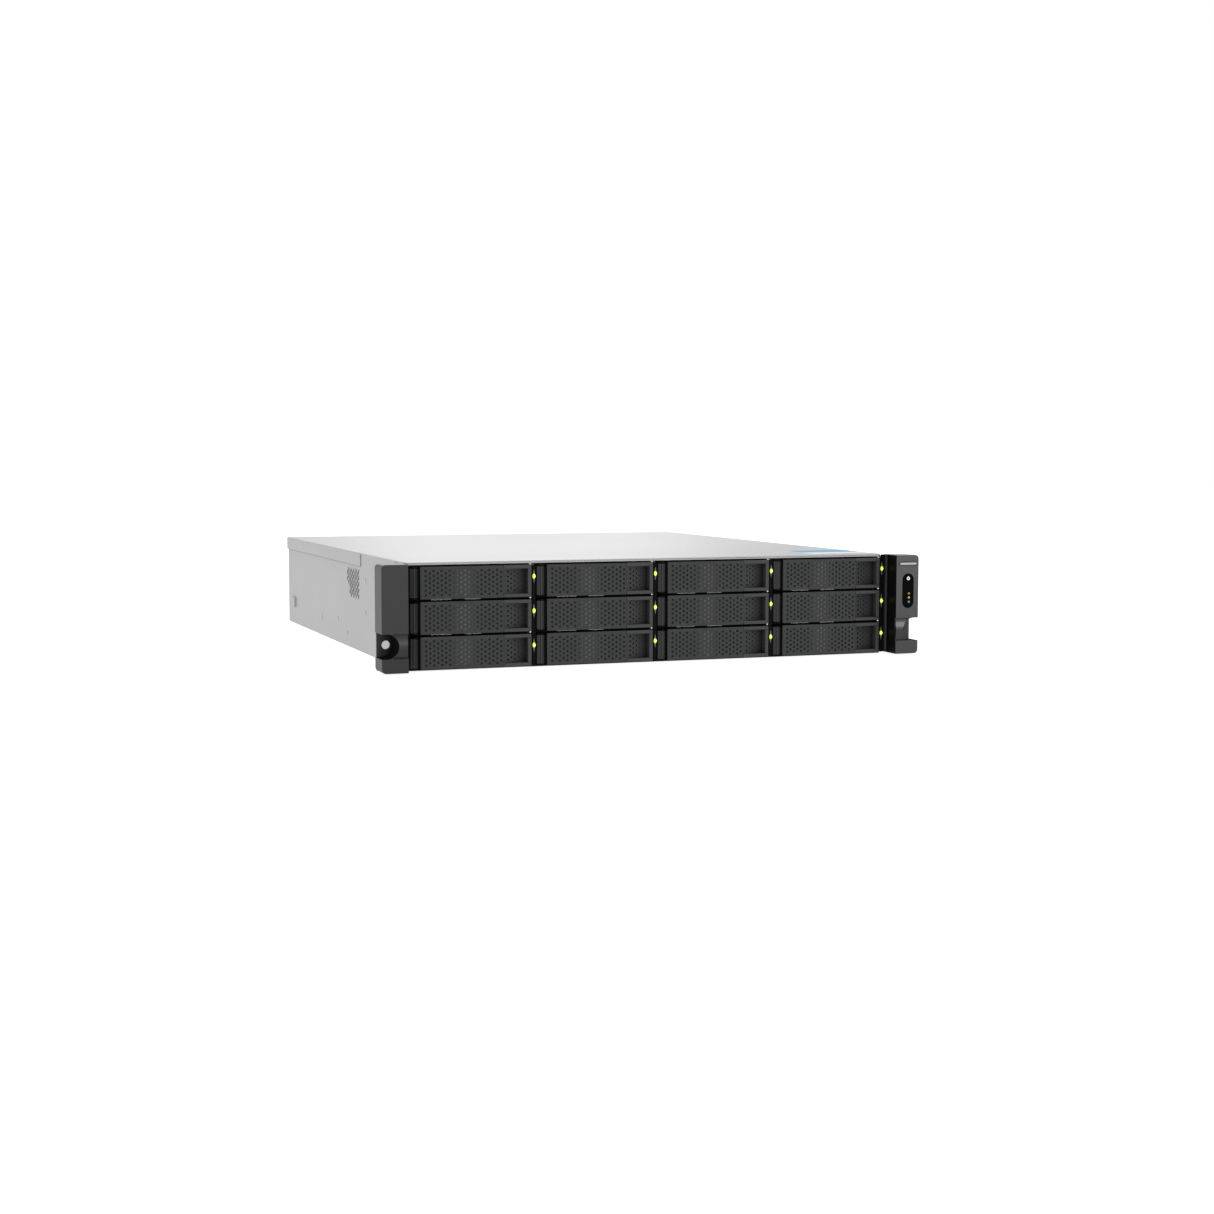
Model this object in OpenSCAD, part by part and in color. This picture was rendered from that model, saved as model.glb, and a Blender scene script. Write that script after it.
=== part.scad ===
// Rack-mount network storage chassis, two rack units high, with twelve
// hot-swap drive trays in four columns and three rows.
// Lengths are millimetres. +X is to the right of the front face, +Y runs
// to the rear, +Z is up. The origin is on the underside, midway across
// the ears and midway between the front of the ears and the rear handles.
// Inside the modules Y = 0 is the rack plane, the front face of the steel
// flanges, and place() moves that plane to its position in the frame.

/* [Rack] */
// Width over the two rack ears
panel_w = 482.6; // [482.0:0.1:483.4]
// Distance between the two rack screw holes
rack_hole_w = 465.1; // [464.5:0.1:465.7]
// Diameter of the rack screw holes
rack_hole_d = 7.0; // [6.5:0.1:7.2]
// Height of the rack screw holes above the underside
rack_hole_z = 22.0; // [21.5:0.1:22.5]

/* [Chassis] */
// Width of the chassis between the ears
case_w = 430.8; // [430.4:0.1:431.2]
// Height of the chassis
case_h = 88.0; // [87.8:0.1:88.6]
// Depth from the rack plane to the rear wall
case_d = 495.0; // [490:1:510]
// Thickness of the chassis sheet
sheet_t = 0.9; // [0.8:0.05:0.9]
// Depth of the fixed top panel's rear edge
top_split = 160.5; // [160:0.5:163]
// Thickness of the floor of the right ear's screw pocket
ear_web = 7.0; // [4:0.5:12]
// Height of the top cover's side flange
cover_flange = 12.0; // [8:0.5:16]
// Distance that the top cover slides back to come off
cover_travel = 14.0; // [10:1:20]

/* [Drive bays] */
// Spacing of the bay columns
col_pitch = 107.7; // [107.6:0.05:107.8]
// Spacing of the bay rows
row_pitch = 28.5; // [28.4:0.05:28.6]
// Height of a tray front
front_h = 26.4; // [26.0:0.1:26.5]
// Thickness of the steel tray rails
rail_t = 0.8; // [0.6:0.1:0.8]
// Length of the steel trays
tray_len = 142; // [136:1:146]
// Width of a 3.5 inch drive
drive_w = 101.6; // [101.4:0.1:101.6]
// Length of a 3.5 inch drive
drive_len = 147; // [146:0.5:147]
// Height of a 3.5 inch drive
drive_h = 26.1; // [25.4:0.1:26.1]

/* [Ears] */
// Width of a rack ear cap
ear_w = 21.9; // [21.5:0.1:22.2]
// How far an ear cap stands in front of the rack plane
ear_d = 22.6; // [20:0.1:24]
// Diameter of the screw pocket
pocket_d = 20; // [18:0.5:21]
// Travel of the power button
button_travel = 0.8; // [0.5:0.1:1.0]

/* [Cooling] */
// Side of a square system fan
fan_size = 80; // [78:1:82]
// Depth of a system fan
fan_depth = 38; // [25:1:38]
// Number of blades on a rotor
blades = 7; // [5:1:9]
// Spacing of the side and rear vent holes
vent_pitch = 5.6; // [5.4:0.1:6.4]

/* [Power] */
// Width of a power supply module
psu_w = 73.5; // [72:0.5:73.5]
// Height of a power supply module
psu_h = 39.0; // [38:0.5:39]
// Length of a power supply module
psu_len = 185; // [160:1:185]

/* [Hidden] */
$fn = 48;

half_w = case_w / 2;
half_p = panel_w / 2;
wall_in = half_w - sheet_t;
button_proud = 0.35;
button_z = 67.2; // [66:0.1:68]
handle_out = 21.75;
y_front = -ear_d - button_proud;
y_rear = case_d + handle_out;
y_shift = -(y_front + y_rear) / 2;

// Bay layout. u is measured to the right from a column's left edge.
function col_x(c) = -half_w + col_pitch * c;
function base_z(r) = 1.4 + row_pitch * r;
function front_z(r) = base_z(r) - 0.2;
rail_u0 = 1.35;
rail_u1 = rail_u0 + 2 * rail_t + drive_w + 0.1;
hinge_u = 5.5;
hinge_y = -1.6;
barrel_r = 3.9;
lug_t = 1.1;
pin_r = 1.0;
panel_u = 10.5;
seam_u = 80.8;
lever_end_u = 104.7;
lever_y = -5.0;
post_u = 106.8;
plate_y = 5.6;
drive_y = 9.0;
// Height of the scoop floor at u, a quarter sine that deepens to the right
function scoop_y(u) = -4.4 + 6.6 * sin(90 * (u - seam_u - 0.8) / 20.1);

// Rear layout
board_z = 7.0;
psu_x = 129;
psu_z1 = 1.6;
psu_z2 = psu_z1 + psu_h + 2.0;
fan_x = 140;
fan_z = 44;
fan_y = 180.0;
cover_hw = half_w + 1.1;

module place() translate([0, y_shift, 0]) children();
module bx(x0, x1, y0, y1, z0, z1)
  translate([x0, y0, z0]) cube([x1 - x0, y1 - y0, z1 - z0]);
module rod_y(x, z, y0, y1, r)
  translate([x, y0, z]) rotate([-90, 0, 0]) cylinder(h = y1 - y0, r = r);

// Honeycomb of holes through a sheet across X, with an optional notch at
// the corner of largest y and smallest z
module comb_x(x, y0, y1, z0, z1, nc = 0, nr = 0) {
  step = vent_pitch * sin(60);
  cols = floor((y1 - y0) / step);
  rows = floor((z1 - z0) / vent_pitch);
  for (c = [0 : cols - 1]) for (r = [0 : rows - 1 - c % 2])
    if (c < cols - nc || r >= nr)
      translate([x, y0 + step * (c + 0.5), z0 + vent_pitch * (r + 0.5 + (c % 2) / 2)])
        rotate([0, 90, 0]) rotate(90)
          cylinder(h = 4, d = vent_pitch * 0.94, center = true, $fn = 6);
}
// The same honeycomb through a sheet across Y
module comb_y(y, x0, x1, z0, z1) {
  step = vent_pitch * sin(60);
  for (c = [0 : floor((x1 - x0) / step) - 1])
    for (r = [0 : floor((z1 - z0) / vent_pitch) - 1 - c % 2])
      translate([x0 + step * (c + 0.5), y, z0 + vent_pitch * (r + 0.5 + (c % 2) / 2)])
        rotate([90, 0, 0]) cylinder(h = 4, d = vent_pitch * 0.94, center = true, $fn = 6);
}

// Folded pan: floor, side walls, and the steel rack flanges
module chassis_base() color([0.73, 0.735, 0.73]) place() difference() {
  union() {
    bx(-half_w, half_w, 0, case_d, 0, sheet_t);
    for (s = [0, 1]) mirror([s, 0, 0]) {
      bx(wall_in, half_w, 0, top_split - 0.2, 0, case_h - 1);
      bx(wall_in, half_w, top_split - 0.2, case_d, 0, case_h - 1.4);
      bx(wall_in, half_p - 1.2, 0, 2, 1.5, 86);
      // stiffening gusset behind the flange
      bx(half_w, half_w + 2.2, 2, 6, 4, 82);
      // rail hook pressed out near the rear
      bx(half_w, half_w + 2.0, 457, 473, 24.6, 27);
      bx(half_w, half_w + 2.0, 457, 460, 17, 27);
    }
    for (x = [-200, -70, 60, 96], y = [262, 470])
      translate([x, y, sheet_t - 0.1]) cylinder(h = board_z - sheet_t + 0.1, r = 3, $fn = 24);
  }
  for (s = [0, 1]) mirror([s, 0, 0]) {
    rod_y(rack_hole_w / 2, rack_hole_z, -1, 3, rack_hole_d / 2);
    comb_x(wall_in + sheet_t / 2, 168, 218.6, 45.4, 73.5, 2, 2);
  }
}

// Rear wall with its port and slot cut-outs and the power supply bay
module rear_panel() color([0.7, 0.705, 0.7]) place() {
  yr = case_d - sheet_t;
  x1 = psu_x + psu_w;
  difference() {
    union() {
      bx(-wall_in + 0.1, wall_in - 0.1, yr, case_d, sheet_t, case_h - 1.6);
      bx(psu_x - 1.8, psu_x - 0.9, yr - 190, yr + 0.1, sheet_t, case_h - 2);
      bx(x1 + 0.9, x1 + 1.8, yr - 190, yr + 0.1, sheet_t, case_h - 2);
      bx(psu_x - 1, x1 + 1, yr - 190, yr + 0.1, psu_z1 + psu_h + 0.6, psu_z2 - 0.6);
    }
    bx(psu_x - 0.6, x1 + 0.6, yr - 1, case_d + 1, psu_z1 - 0.5, psu_z1 + psu_h + 0.5);
    bx(psu_x - 0.6, x1 + 0.6, yr - 1, case_d + 1, psu_z2 - 0.5, psu_z2 + psu_h + 0.5);
    // port window and expansion slots
    bx(-198.5, -38, yr - 1, case_d + 1, board_z + 1.4, board_z + 17.4);
    for (k = [0 : 3]) bx(41 + 20.32 * k, 55 + 20.32 * k, yr - 1, case_d + 1, 10, 76);
    comb_y(case_d - sheet_t / 2, -200, 30, 32, 82);
  }
}

// Fixed top panel over the drive cage, with a hemmed front lip
module front_top_panel() color([0.78, 0.785, 0.78]) place() {
  bx(-half_w, half_w, 0.3, top_split - 0.2, case_h - 1, case_h);
  bx(-wall_in + 0.05, wall_in - 0.05, 0.3, 2.3, case_h - 2.3, case_h - 0.5);
}

// Rear cover: slides back and lifts off
module top_cover() color([0.8, 0.805, 0.8]) place() {
  y1 = case_d + 2;
  bx(-cover_hw, cover_hw, top_split, y1, case_h - 0.9, case_h);
  for (s = [0, 1]) mirror([s, 0, 0])
    bx(cover_hw - 0.8, cover_hw, top_split, y1, case_h - cover_flange, case_h - 0.5);
  bx(-cover_hw, cover_hw, y1 - 0.8, y1, case_h - 2.8, case_h - 0.5);
}

// Three dividers and two shelves that make the twelve bays
module drive_cage() color([0.62, 0.63, 0.63]) place() {
  z1 = base_z(1) - 1.3;
  z2 = base_z(2) - 1.3;
  for (z = [z1, z2]) bx(-wall_in + 0.1, wall_in - 0.1, 0.5, 158, z, z + 0.8);
  for (k = [1 : 3]) {
    x = col_x(k);
    bx(x - 0.5, x + 0.5, 0, 158, sheet_t + 0.05, z1 - 0.05);
    bx(x - 0.5, x + 0.5, 0, 158, z1 + 0.85, z2 - 0.05);
    bx(x - 0.5, x + 0.5, 0, 158, z2 + 0.85, 84.8);
  }
}

// Backplane board with one drive connector for each bay
module backplane() color([0.10, 0.36, 0.2]) place() difference() {
  union() {
    bx(-wall_in + 0.5, wall_in - 0.5, 164, 165.6, 2, 85);
    for (c = [0 : 3], r = [0 : 2])
      bx(col_x(c) + 36, col_x(c) + 70, 156.4, 164.1, base_z(r) + 1, base_z(r) + 7);
  }
  for (c = [0 : 3], r = [0 : 2])
    bx(col_x(c) + 14, col_x(c) + 94, 163, 167, base_z(r) + 11, base_z(r) + 23);
}

// Sheet bulkhead that carries the fans
module fan_bracket() color([0.65, 0.655, 0.65]) place() difference() {
  union() {
    bx(-wall_in + 0.4, wall_in - 0.4, fan_y - 2.4, fan_y - 1.2, 1.0, 86);
    bx(-wall_in + 0.4, wall_in - 0.4, fan_y - 1.3, fan_y + 20, 1.0, 2.0);
  }
  for (k = [-1 : 1]) rod_y(fan_x * k, fan_z, fan_y - 4, fan_y, fan_size / 2 - 1.5);
}

module fan_frame(x) difference() {
  union() {
    difference() {
      translate([x - fan_size / 2, fan_y - 1, fan_z - fan_size / 2])
        cube([fan_size, fan_depth, fan_size]);
      rod_y(x, fan_z, fan_y - 2, fan_y + fan_depth, fan_size / 2 - 1.5);
    }
    rod_y(x, fan_z, fan_y + fan_depth - 7, fan_y + fan_depth - 1, 18);
    for (a = [45, 135]) translate([x, fan_y + fan_depth - 3.5, fan_z]) rotate([0, a, 0])
      cube([fan_size, 3, 3], center = true);
  }
  for (i = [-1, 1], j = [-1, 1])
    rod_y(x + 35.75 * i, fan_z + 35.75 * j, fan_y - 3, fan_y + fan_depth + 3, 2.2);
}
module fan_frames() color([0.08, 0.08, 0.085]) place()
  for (k = [-1 : 1]) fan_frame(fan_x * k);

// Rotor with a hub and tilted blades
module fan_rotor(k) color([0.14, 0.14, 0.15]) place() translate([fan_x * k, 0, fan_z]) {
  rod_y(0, 0, fan_y + 1, fan_y + fan_depth - 8, 17);
  intersection() {
    rod_y(0, 0, fan_y + 1.5, fan_y + fan_depth - 9, fan_size / 2 - 2.8);
    for (b = [0 : blades - 1]) rotate([0, 360 / blades * b, 0])
      translate([28, fan_y + fan_depth / 2 - 4, 0]) rotate([38, 0, 0])
        cube([28, 1.8, 34], center = true);
  }
}
module fan_rotor_1() fan_rotor(-1);
module fan_rotor_2() fan_rotor(0);
module fan_rotor_3() fan_rotor(1);

// Socket shell with a blind mouth that opens to the rear
module socket(x, z, w, h, d, mw, mh) difference() {
  bx(x - w / 2, x + w / 2, case_d + 0.6 - d, case_d + 0.6, z, z + h);
  bx(x - mw / 2, x + mw / 2, case_d + 0.6 - d * 0.7, case_d + 1, z + (h - mh) / 2, z + (h + mh) / 2);
}
// Main board with its soldered sockets, processor socket and memory slots
module motherboard() color([0.09, 0.33, 0.19]) place() union() {
  zt = board_z + 1.6;
  bx(-208, 104, 246, case_d - 3, board_z, zt);
  for (k = [0 : 3]) socket(-185 + 19 * k, zt - 0.1, 16, 13.6, 21, 11.8, 8.4);
  for (k = [0 : 1]) {
    socket(-108 + 17 * k, zt - 0.1, 14.4, 7.4, 18, 12.6, 5.1);
    socket(-108 + 17 * k, zt + 7.2, 14.4, 7.4, 18, 12.6, 5.1);
  }
  socket(-71, zt - 0.1, 16.6, 7.2, 14, 14.4, 5.0);
  bx(-68, -8, 320, 380, zt - 0.1, zt + 3);
  for (k = [0 : 3]) bx(22 + 11 * k, 28 + 11 * k, 282, 424, zt - 0.1, zt + 5);
}

// Finned cooler on the processor
module cpu_heatsink() color([0.75, 0.76, 0.77]) place() {
  z0 = board_z + 4.7;
  bx(-78, 2, 304, 396, z0, z0 + 5);
  for (k = [0 : 15]) bx(-78 + 5.2 * k, -76 + 5.2 * k, 304, 396, z0 + 4.9, z0 + 44);
}

// Four memory modules in their slots
module memory_modules() color([0.08, 0.3, 0.2]) place()
  for (k = [0 : 3]) bx(24.4 + 11 * k, 25.6 + 11 * k, 286, 419, board_z + 6.7, board_z + 37);

// Blank low-profile brackets that close the expansion slots
module pcie_brackets() color([0.78, 0.785, 0.79]) place()
  for (k = [0 : 3]) {
    bx(39 + 20.32 * k, 57.4 + 20.32 * k, case_d - 1.9, case_d - sheet_t - 0.02, 7, 80);
    bx(39 + 20.32 * k, 57.4 + 20.32 * k, case_d - 12, case_d - 1.8, 79.2, 80);
  }

// Power supply module with an inlet, a fan mouth and a pull handle
module psu(z) color([0.6, 0.605, 0.605]) place() {
  y1 = case_d + 1;
  zc = z + psu_h / 2;
  difference() {
    union() {
      bx(psu_x, psu_x + psu_w, y1 - psu_len, y1, z, z + psu_h);
      // pull handle
      bx(psu_x + 34, psu_x + 38, y1 - 0.5, y_rear, zc - 16, zc - 12.5);
      bx(psu_x + 34, psu_x + 38, y1 - 0.5, y_rear, zc + 12.5, zc + 16);
      bx(psu_x + 34, psu_x + 38, y_rear - 4, y_rear, zc - 16, zc + 16);
      // lugs and pin for the release latch
      for (d = [-8.6, 7])
        bx(psu_x + 67, psu_x + 73, y1 - 0.5, y1 + 4, zc + d, zc + d + 1.6);
      translate([psu_x + 70, y1 + 1.9, zc - 7.5]) cylinder(h = 15, r = 1);
    }
    // inlet
    bx(psu_x + 3, psu_x + 30.4, y1 - 18, y1 + 1, zc - 10, zc + 10);
    // fan mouth
    rod_y(psu_x + 53, zc, y1 - 6, y1 + 1, 14);
    // air slots at the inner end
    for (k = [0 : 7]) bx(psu_x + 6 + 8 * k, psu_x + 11 + 8 * k, y1 - psu_len - 1, y1 - psu_len + 3, z + 8, z + psu_h - 6);
  }
}
module psu_1() psu(psu_z1);
module psu_2() psu(psu_z2);

// Sprung latch that is pressed towards the handle
module psu_latch(z) color([0.15, 0.32, 0.55]) place() {
  y1 = case_d + 1;
  zc = z + psu_h / 2;
  difference() {
    union() {
      translate([psu_x + 70, y1 + 1.9, zc - 6.6]) cylinder(h = 13.2, r = 1.7);
      bx(psu_x + 69, psu_x + 71, y1 + 1.9, y1 + 14, zc - 6.6, zc + 6.6);
      bx(psu_x + 69, psu_x + 73, y1 + 12, y1 + 14, zc - 6.6, zc + 6.6);
    }
    translate([psu_x + 70, y1 + 1.9, zc - 8]) cylinder(h = 16, r = 1.06);
  }
}
module psu_latch_1() psu_latch(psu_z1);
module psu_latch_2() psu_latch(psu_z2);

// Outline of an ear in X and Z, inset by d, with rounded outer corners
module ear_outline(d) {
  x0 = half_p - ear_w + d;
  x1 = half_p - d;
  r = 3.5 - d;
  translate([x0, 1 + d]) square([x1 - x0 - r, 86.7 - 2 * d]);
  translate([x0, 1 + d + r]) square([x1 - x0, 86.7 - 2 * d - 2 * r]);
  for (z = [1 + d + r, 87.7 - d - r]) translate([x1 - r, z]) circle(r = r, $fn = 24);
}
module ear_slab(y, t, d)
  translate([0, y + t, 0]) rotate([90, 0, 0]) linear_extrude(t) ear_outline(d);
module pill(y0, y1, r) {
  rod_y(231, 46.7, y0, y1, r);
  rod_y(231, 66, y0, y1, r);
  bx(231 - r, 231 + r, y0, y1, 46.7, 66);
}
// Moulded ear cap with a rounded finger bar beside the screw pocket. The pocket
// stops short of the rack plane by web, which leaves a floor with a hole.
module ear_cap(web) difference() {
  union() {
    difference() {
      hull() {
        ear_slab(-ear_d, 0.4, 1.3);
        ear_slab(-ear_d + 1.6, ear_d - 1.7, 0);
      }
      bx(half_p - ear_w - 1, half_p - ear_w + 12.1, -ear_d - 1, -ear_d + 1.6, rack_hole_z - 9.5, rack_hole_z + 10.5);
    }
    // finger bar, bowed out to the level of the blocks above and below
    intersection() {
      translate([half_p - ear_w + 0.4, -ear_d + 32.1, rack_hole_z + 0.5]) rotate([0, 90, 0])
        cylinder(h = 11.8, r = 32, $fn = 240);
      bx(half_p - ear_w, half_p - ear_w + 13, -ear_d, -ear_d + 2.6, rack_hole_z - 9.6, rack_hole_z + 10.6);
    }
    // inner wall beside the trays
    bx(half_w + 1, half_p - ear_w + 0.4, -8, -0.2, 1.5, 87.5);
  }
  rod_y(half_p - 4.3, rack_hole_z + 0.5, -ear_d - 1, 1 - web, pocket_d / 2);
  bx(half_p - 4.3, half_p + 1, -ear_d - 1, 1 - web, rack_hole_z + 0.5 - pocket_d / 2, rack_hole_z + 0.5 + pocket_d / 2);
  rod_y(rack_hole_w / 2, rack_hole_z, -ear_d - 1, 1, rack_hole_d / 2 + 0.3);
}
module left_ear() color([0.22, 0.22, 0.225]) place() mirror([1, 0, 0]) ear_cap(0);
module right_ear() color([0.3, 0.3, 0.305]) place() difference() {
  ear_cap(ear_web + 1.1);
  pill(-ear_d - 1, -ear_d + 1.2, 5.65);
  rod_y(231, button_z, -ear_d, -ear_d + 4, 2.5);
  rod_y(231, button_z, -ear_d + 2.6, -ear_d + 9, 3.5);
}
// Glossy lens over the status lights
module status_lens() color([0.01, 0.01, 0.012]) place() difference() {
  pill(-ear_d - 0.15, -ear_d + 1.15, 5.5);
  rod_y(231, button_z, -ear_d - 1, -ear_d + 4, 2.5);
}
// Power button, captive behind the lens
module power_button() color([0.85, 0.85, 0.86]) place() {
  rod_y(231, button_z, -ear_d - button_proud, -ear_d + 4, 2.2);
  rod_y(231, button_z, -ear_d + 3.2, -ear_d + 4.4, 3.1);
}

// Dark posts between the columns, each with three light pipe heads
module drive_light_pipes() color([0.06, 0.06, 0.062]) place()
  for (c = [0 : 3]) {
    x = col_x(c) + post_u;
    bx(x - 1.5, x + 1.5, -5.2, -0.1, 1.3, 84.7);
    for (r = [0 : 2]) {
      z = front_z(r) + front_h / 2 + 3.8;
      rod_y(x, z + 0.9, -6.0, -5.1, 1.25);
      rod_y(x, z - 0.9, -6.0, -5.1, 1.25);
      bx(x - 1.25, x + 1.25, -6.0, -5.1, z - 0.9, z + 0.9);
    }
  }

// Steel tray with side rails, a vented front plate and the lever's hinge lugs
module drive_tray(c, r) color([0.55, 0.555, 0.56]) place() {
  x = col_x(c);
  z = base_z(r);
  f = front_z(r);
  bx(x + rail_u0, x + rail_u1, plate_y, plate_y + tray_len, z, z + 0.6);
  bx(x + rail_u0, x + rail_u0 + rail_t, plate_y, plate_y + tray_len, z, z + 14);
  bx(x + rail_u1 - rail_t, x + rail_u1, plate_y, plate_y + tray_len, z, z + 14);
  difference() {
    bx(x + rail_u0, x + rail_u1, plate_y, plate_y + 1.6, f, f + front_h);
    for (k = [0 : 6]) bx(x + 16 + 12 * k, x + 25 + 12 * k, plate_y - 1, plate_y + 3, f + 5, f + 21);
  }
  for (s = [f, f + front_h - lug_t]) {
    translate([x + hinge_u, hinge_y, s]) cylinder(h = lug_t, r = barrel_r);
    bx(x + hinge_u - barrel_r, x + hinge_u + barrel_r, hinge_y, plate_y + 0.1, s, s + lug_t);
  }
  translate([x + hinge_u, hinge_y, f]) cylinder(h = front_h, r = pin_r);
}

// Vented lever with the hinge barrel at its left and the finger scoop at its right
module tray_lever(c, r) color([0.235, 0.24, 0.245]) place() {
  x = col_x(c);
  f = front_z(r);
  difference() {
    union() {
      translate([x + hinge_u, hinge_y, f + lug_t + 0.2])
        cylinder(h = front_h - 2 * lug_t - 0.4, r = barrel_r);
      bx(x + hinge_u + 2, x + panel_u + 2, -3.2, -1.2, f + lug_t + 0.4, f + front_h - lug_t - 0.4);
      bx(x + panel_u, x + seam_u + 0.5, lever_y, lever_y + 2.2, f, f + front_h);
      translate([x, 0, f]) linear_extrude(front_h) polygon(concat(
        [[seam_u, lever_y], [lever_end_u, lever_y], [lever_end_u, 2.0], [103.4, 3.3]],
        [for (k = [10 : -1 : 0]) let (u = seam_u + 0.8 + 2.01 * k) [u, scoop_y(u) + 1.1]],
        [[seam_u, lever_y + 1.1]]));
    }
    // finger scoop
    translate([x, 0, f + 2.9]) linear_extrude(front_h - 5.8) polygon(concat(
      [[101.7, lever_y - 1], [101.7, 2.2]],
      [for (k = [10 : -1 : 0]) let (u = seam_u + 0.8 + 2.01 * k) [u, scoop_y(u)]],
      [[seam_u + 0.8, lever_y - 1]]));
    translate([x + hinge_u, hinge_y, f - 1]) cylinder(h = front_h + 2, r = pin_r + 0.08);
  }
}

// 3.5 inch drive with a notch for its connector
module hard_drive(c, r) color([0.42, 0.43, 0.44]) place() difference() {
  x = col_x(c) + rail_u0 + rail_t + 0.05;
  z = base_z(r) + 0.6;
  bx(x, x + drive_w, drive_y, drive_y + drive_len, z, z + drive_h);
  bx(x + 32, x + 70, drive_y + drive_len - 5, drive_y + drive_len + 1, z - 1, z + 5);
  bx(x + 8, x + drive_w - 8, drive_y + 8, drive_y + drive_len - 12, z + drive_h - 1.2, z + drive_h + 1);
}

module drive_tray_01() drive_tray(0, 2);
module drive_tray_02() drive_tray(1, 2);
module drive_tray_03() drive_tray(2, 2);
module drive_tray_04() drive_tray(3, 2);
module drive_tray_05() drive_tray(0, 1);
module drive_tray_06() drive_tray(1, 1);
module drive_tray_07() drive_tray(2, 1);
module drive_tray_08() drive_tray(3, 1);
module drive_tray_09() drive_tray(0, 0);
module drive_tray_10() drive_tray(1, 0);
module drive_tray_11() drive_tray(2, 0);
module drive_tray_12() drive_tray(3, 0);
module tray_lever_01() tray_lever(0, 2);
module tray_lever_02() tray_lever(1, 2);
module tray_lever_03() tray_lever(2, 2);
module tray_lever_04() tray_lever(3, 2);
module tray_lever_05() tray_lever(0, 1);
module tray_lever_06() tray_lever(1, 1);
module tray_lever_07() tray_lever(2, 1);
module tray_lever_08() tray_lever(3, 1);
module tray_lever_09() tray_lever(0, 0);
module tray_lever_10() tray_lever(1, 0);
module tray_lever_11() tray_lever(2, 0);
module tray_lever_12() tray_lever(3, 0);
module hard_drive_01() hard_drive(0, 2);
module hard_drive_02() hard_drive(1, 2);
module hard_drive_03() hard_drive(2, 2);
module hard_drive_04() hard_drive(3, 2);
module hard_drive_05() hard_drive(0, 1);
module hard_drive_06() hard_drive(1, 1);
module hard_drive_07() hard_drive(2, 1);
module hard_drive_08() hard_drive(3, 1);
module hard_drive_09() hard_drive(0, 0);
module hard_drive_10() hard_drive(1, 0);
module hard_drive_11() hard_drive(2, 0);
module hard_drive_12() hard_drive(3, 0);

// Each node is drawn on its own or with all the others
chassis_base();
rear_panel();
front_top_panel();
top_cover();
drive_cage();
backplane();
fan_bracket();
fan_frames();
fan_rotor_1();
fan_rotor_2();
fan_rotor_3();
motherboard();
cpu_heatsink();
memory_modules();
pcie_brackets();
psu_1();
psu_2();
psu_latch_1();
psu_latch_2();
left_ear();
right_ear();
status_lens();
power_button();
drive_light_pipes();
drive_tray_01();
drive_tray_02();
drive_tray_03();
drive_tray_04();
drive_tray_05();
drive_tray_06();
drive_tray_07();
drive_tray_08();
drive_tray_09();
drive_tray_10();
drive_tray_11();
drive_tray_12();
tray_lever_01();
tray_lever_02();
tray_lever_03();
tray_lever_04();
tray_lever_05();
tray_lever_06();
tray_lever_07();
tray_lever_08();
tray_lever_09();
tray_lever_10();
tray_lever_11();
tray_lever_12();
hard_drive_01();
hard_drive_02();
hard_drive_03();
hard_drive_04();
hard_drive_05();
hard_drive_06();
hard_drive_07();
hard_drive_08();
hard_drive_09();
hard_drive_10();
hard_drive_11();
hard_drive_12();
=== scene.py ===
import math

import bmesh
import bpy
from mathutils import Matrix, Vector


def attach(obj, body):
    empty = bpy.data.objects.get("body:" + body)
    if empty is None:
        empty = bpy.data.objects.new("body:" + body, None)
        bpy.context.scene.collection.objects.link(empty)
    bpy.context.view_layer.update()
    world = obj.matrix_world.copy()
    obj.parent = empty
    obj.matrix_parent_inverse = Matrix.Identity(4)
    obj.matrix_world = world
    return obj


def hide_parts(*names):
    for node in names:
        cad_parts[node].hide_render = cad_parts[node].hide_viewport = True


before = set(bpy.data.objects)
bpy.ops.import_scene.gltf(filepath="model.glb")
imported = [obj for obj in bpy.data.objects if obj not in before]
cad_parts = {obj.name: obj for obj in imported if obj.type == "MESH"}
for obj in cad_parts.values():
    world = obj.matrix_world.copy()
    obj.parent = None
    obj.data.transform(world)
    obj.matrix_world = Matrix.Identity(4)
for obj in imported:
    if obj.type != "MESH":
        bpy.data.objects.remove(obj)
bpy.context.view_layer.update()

# ---------------------------------------------------------------- frame
MM = 0.001
YS = -246.9            # the rack plane (Y = 0 below) sits here in the row frame
HALF = 215.4
PITCH = 107.7
ROW = 28.5
FH = 26.4              # height of a tray front
CASE_D = 495.0


def P(x, y, z):
    return (x * MM, (y + YS) * MM, z * MM)


def col_x(c):
    return -HALF + PITCH * c


def base_z(r):
    return 1.4 + ROW * r


def front_z(r):
    return base_z(r) - 0.2


BAYS = [(c, r) for r in (2, 1, 0) for c in (0, 1, 2, 3)]

# ---------------------------------------------------------------- camera
f = Vector((math.sin(0.357129) * math.cos(0.081047),
            math.cos(0.357129) * math.cos(0.081047), -math.sin(0.081047)))
r_ = Vector((math.cos(0.357129), -math.sin(0.357129), 0))
u_ = r_.cross(f)
cr, sr = math.cos(0.0018173), math.sin(0.0018173)
rr = cr * r_ + sr * u_
uu = -sr * r_ + cr * u_
cam_d = bpy.data.cameras.new("camera")
cam_d.sensor_width = 36.0
cam_d.sensor_fit = "HORIZONTAL"
cam_d.lens = 36.0 * 1878.32 / 1214.0
cam_d.clip_start, cam_d.clip_end = 0.05, 60
cam = bpy.data.objects.new("camera", cam_d)
bpy.context.scene.collection.objects.link(cam)
m = Matrix((rr, uu, -f)).transposed().to_4x4()
m.translation = Vector(P(-591.621, -1471.398, 175.138))
cam.matrix_world = m
bpy.context.scene.camera = cam


# ---------------------------------------------------------------- materials
def nodes_of(name):
    mat = bpy.data.materials.new(name)
    mat.use_nodes = True
    nt = mat.node_tree
    return mat, nt, nt.nodes["Principled BSDF"]


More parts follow.
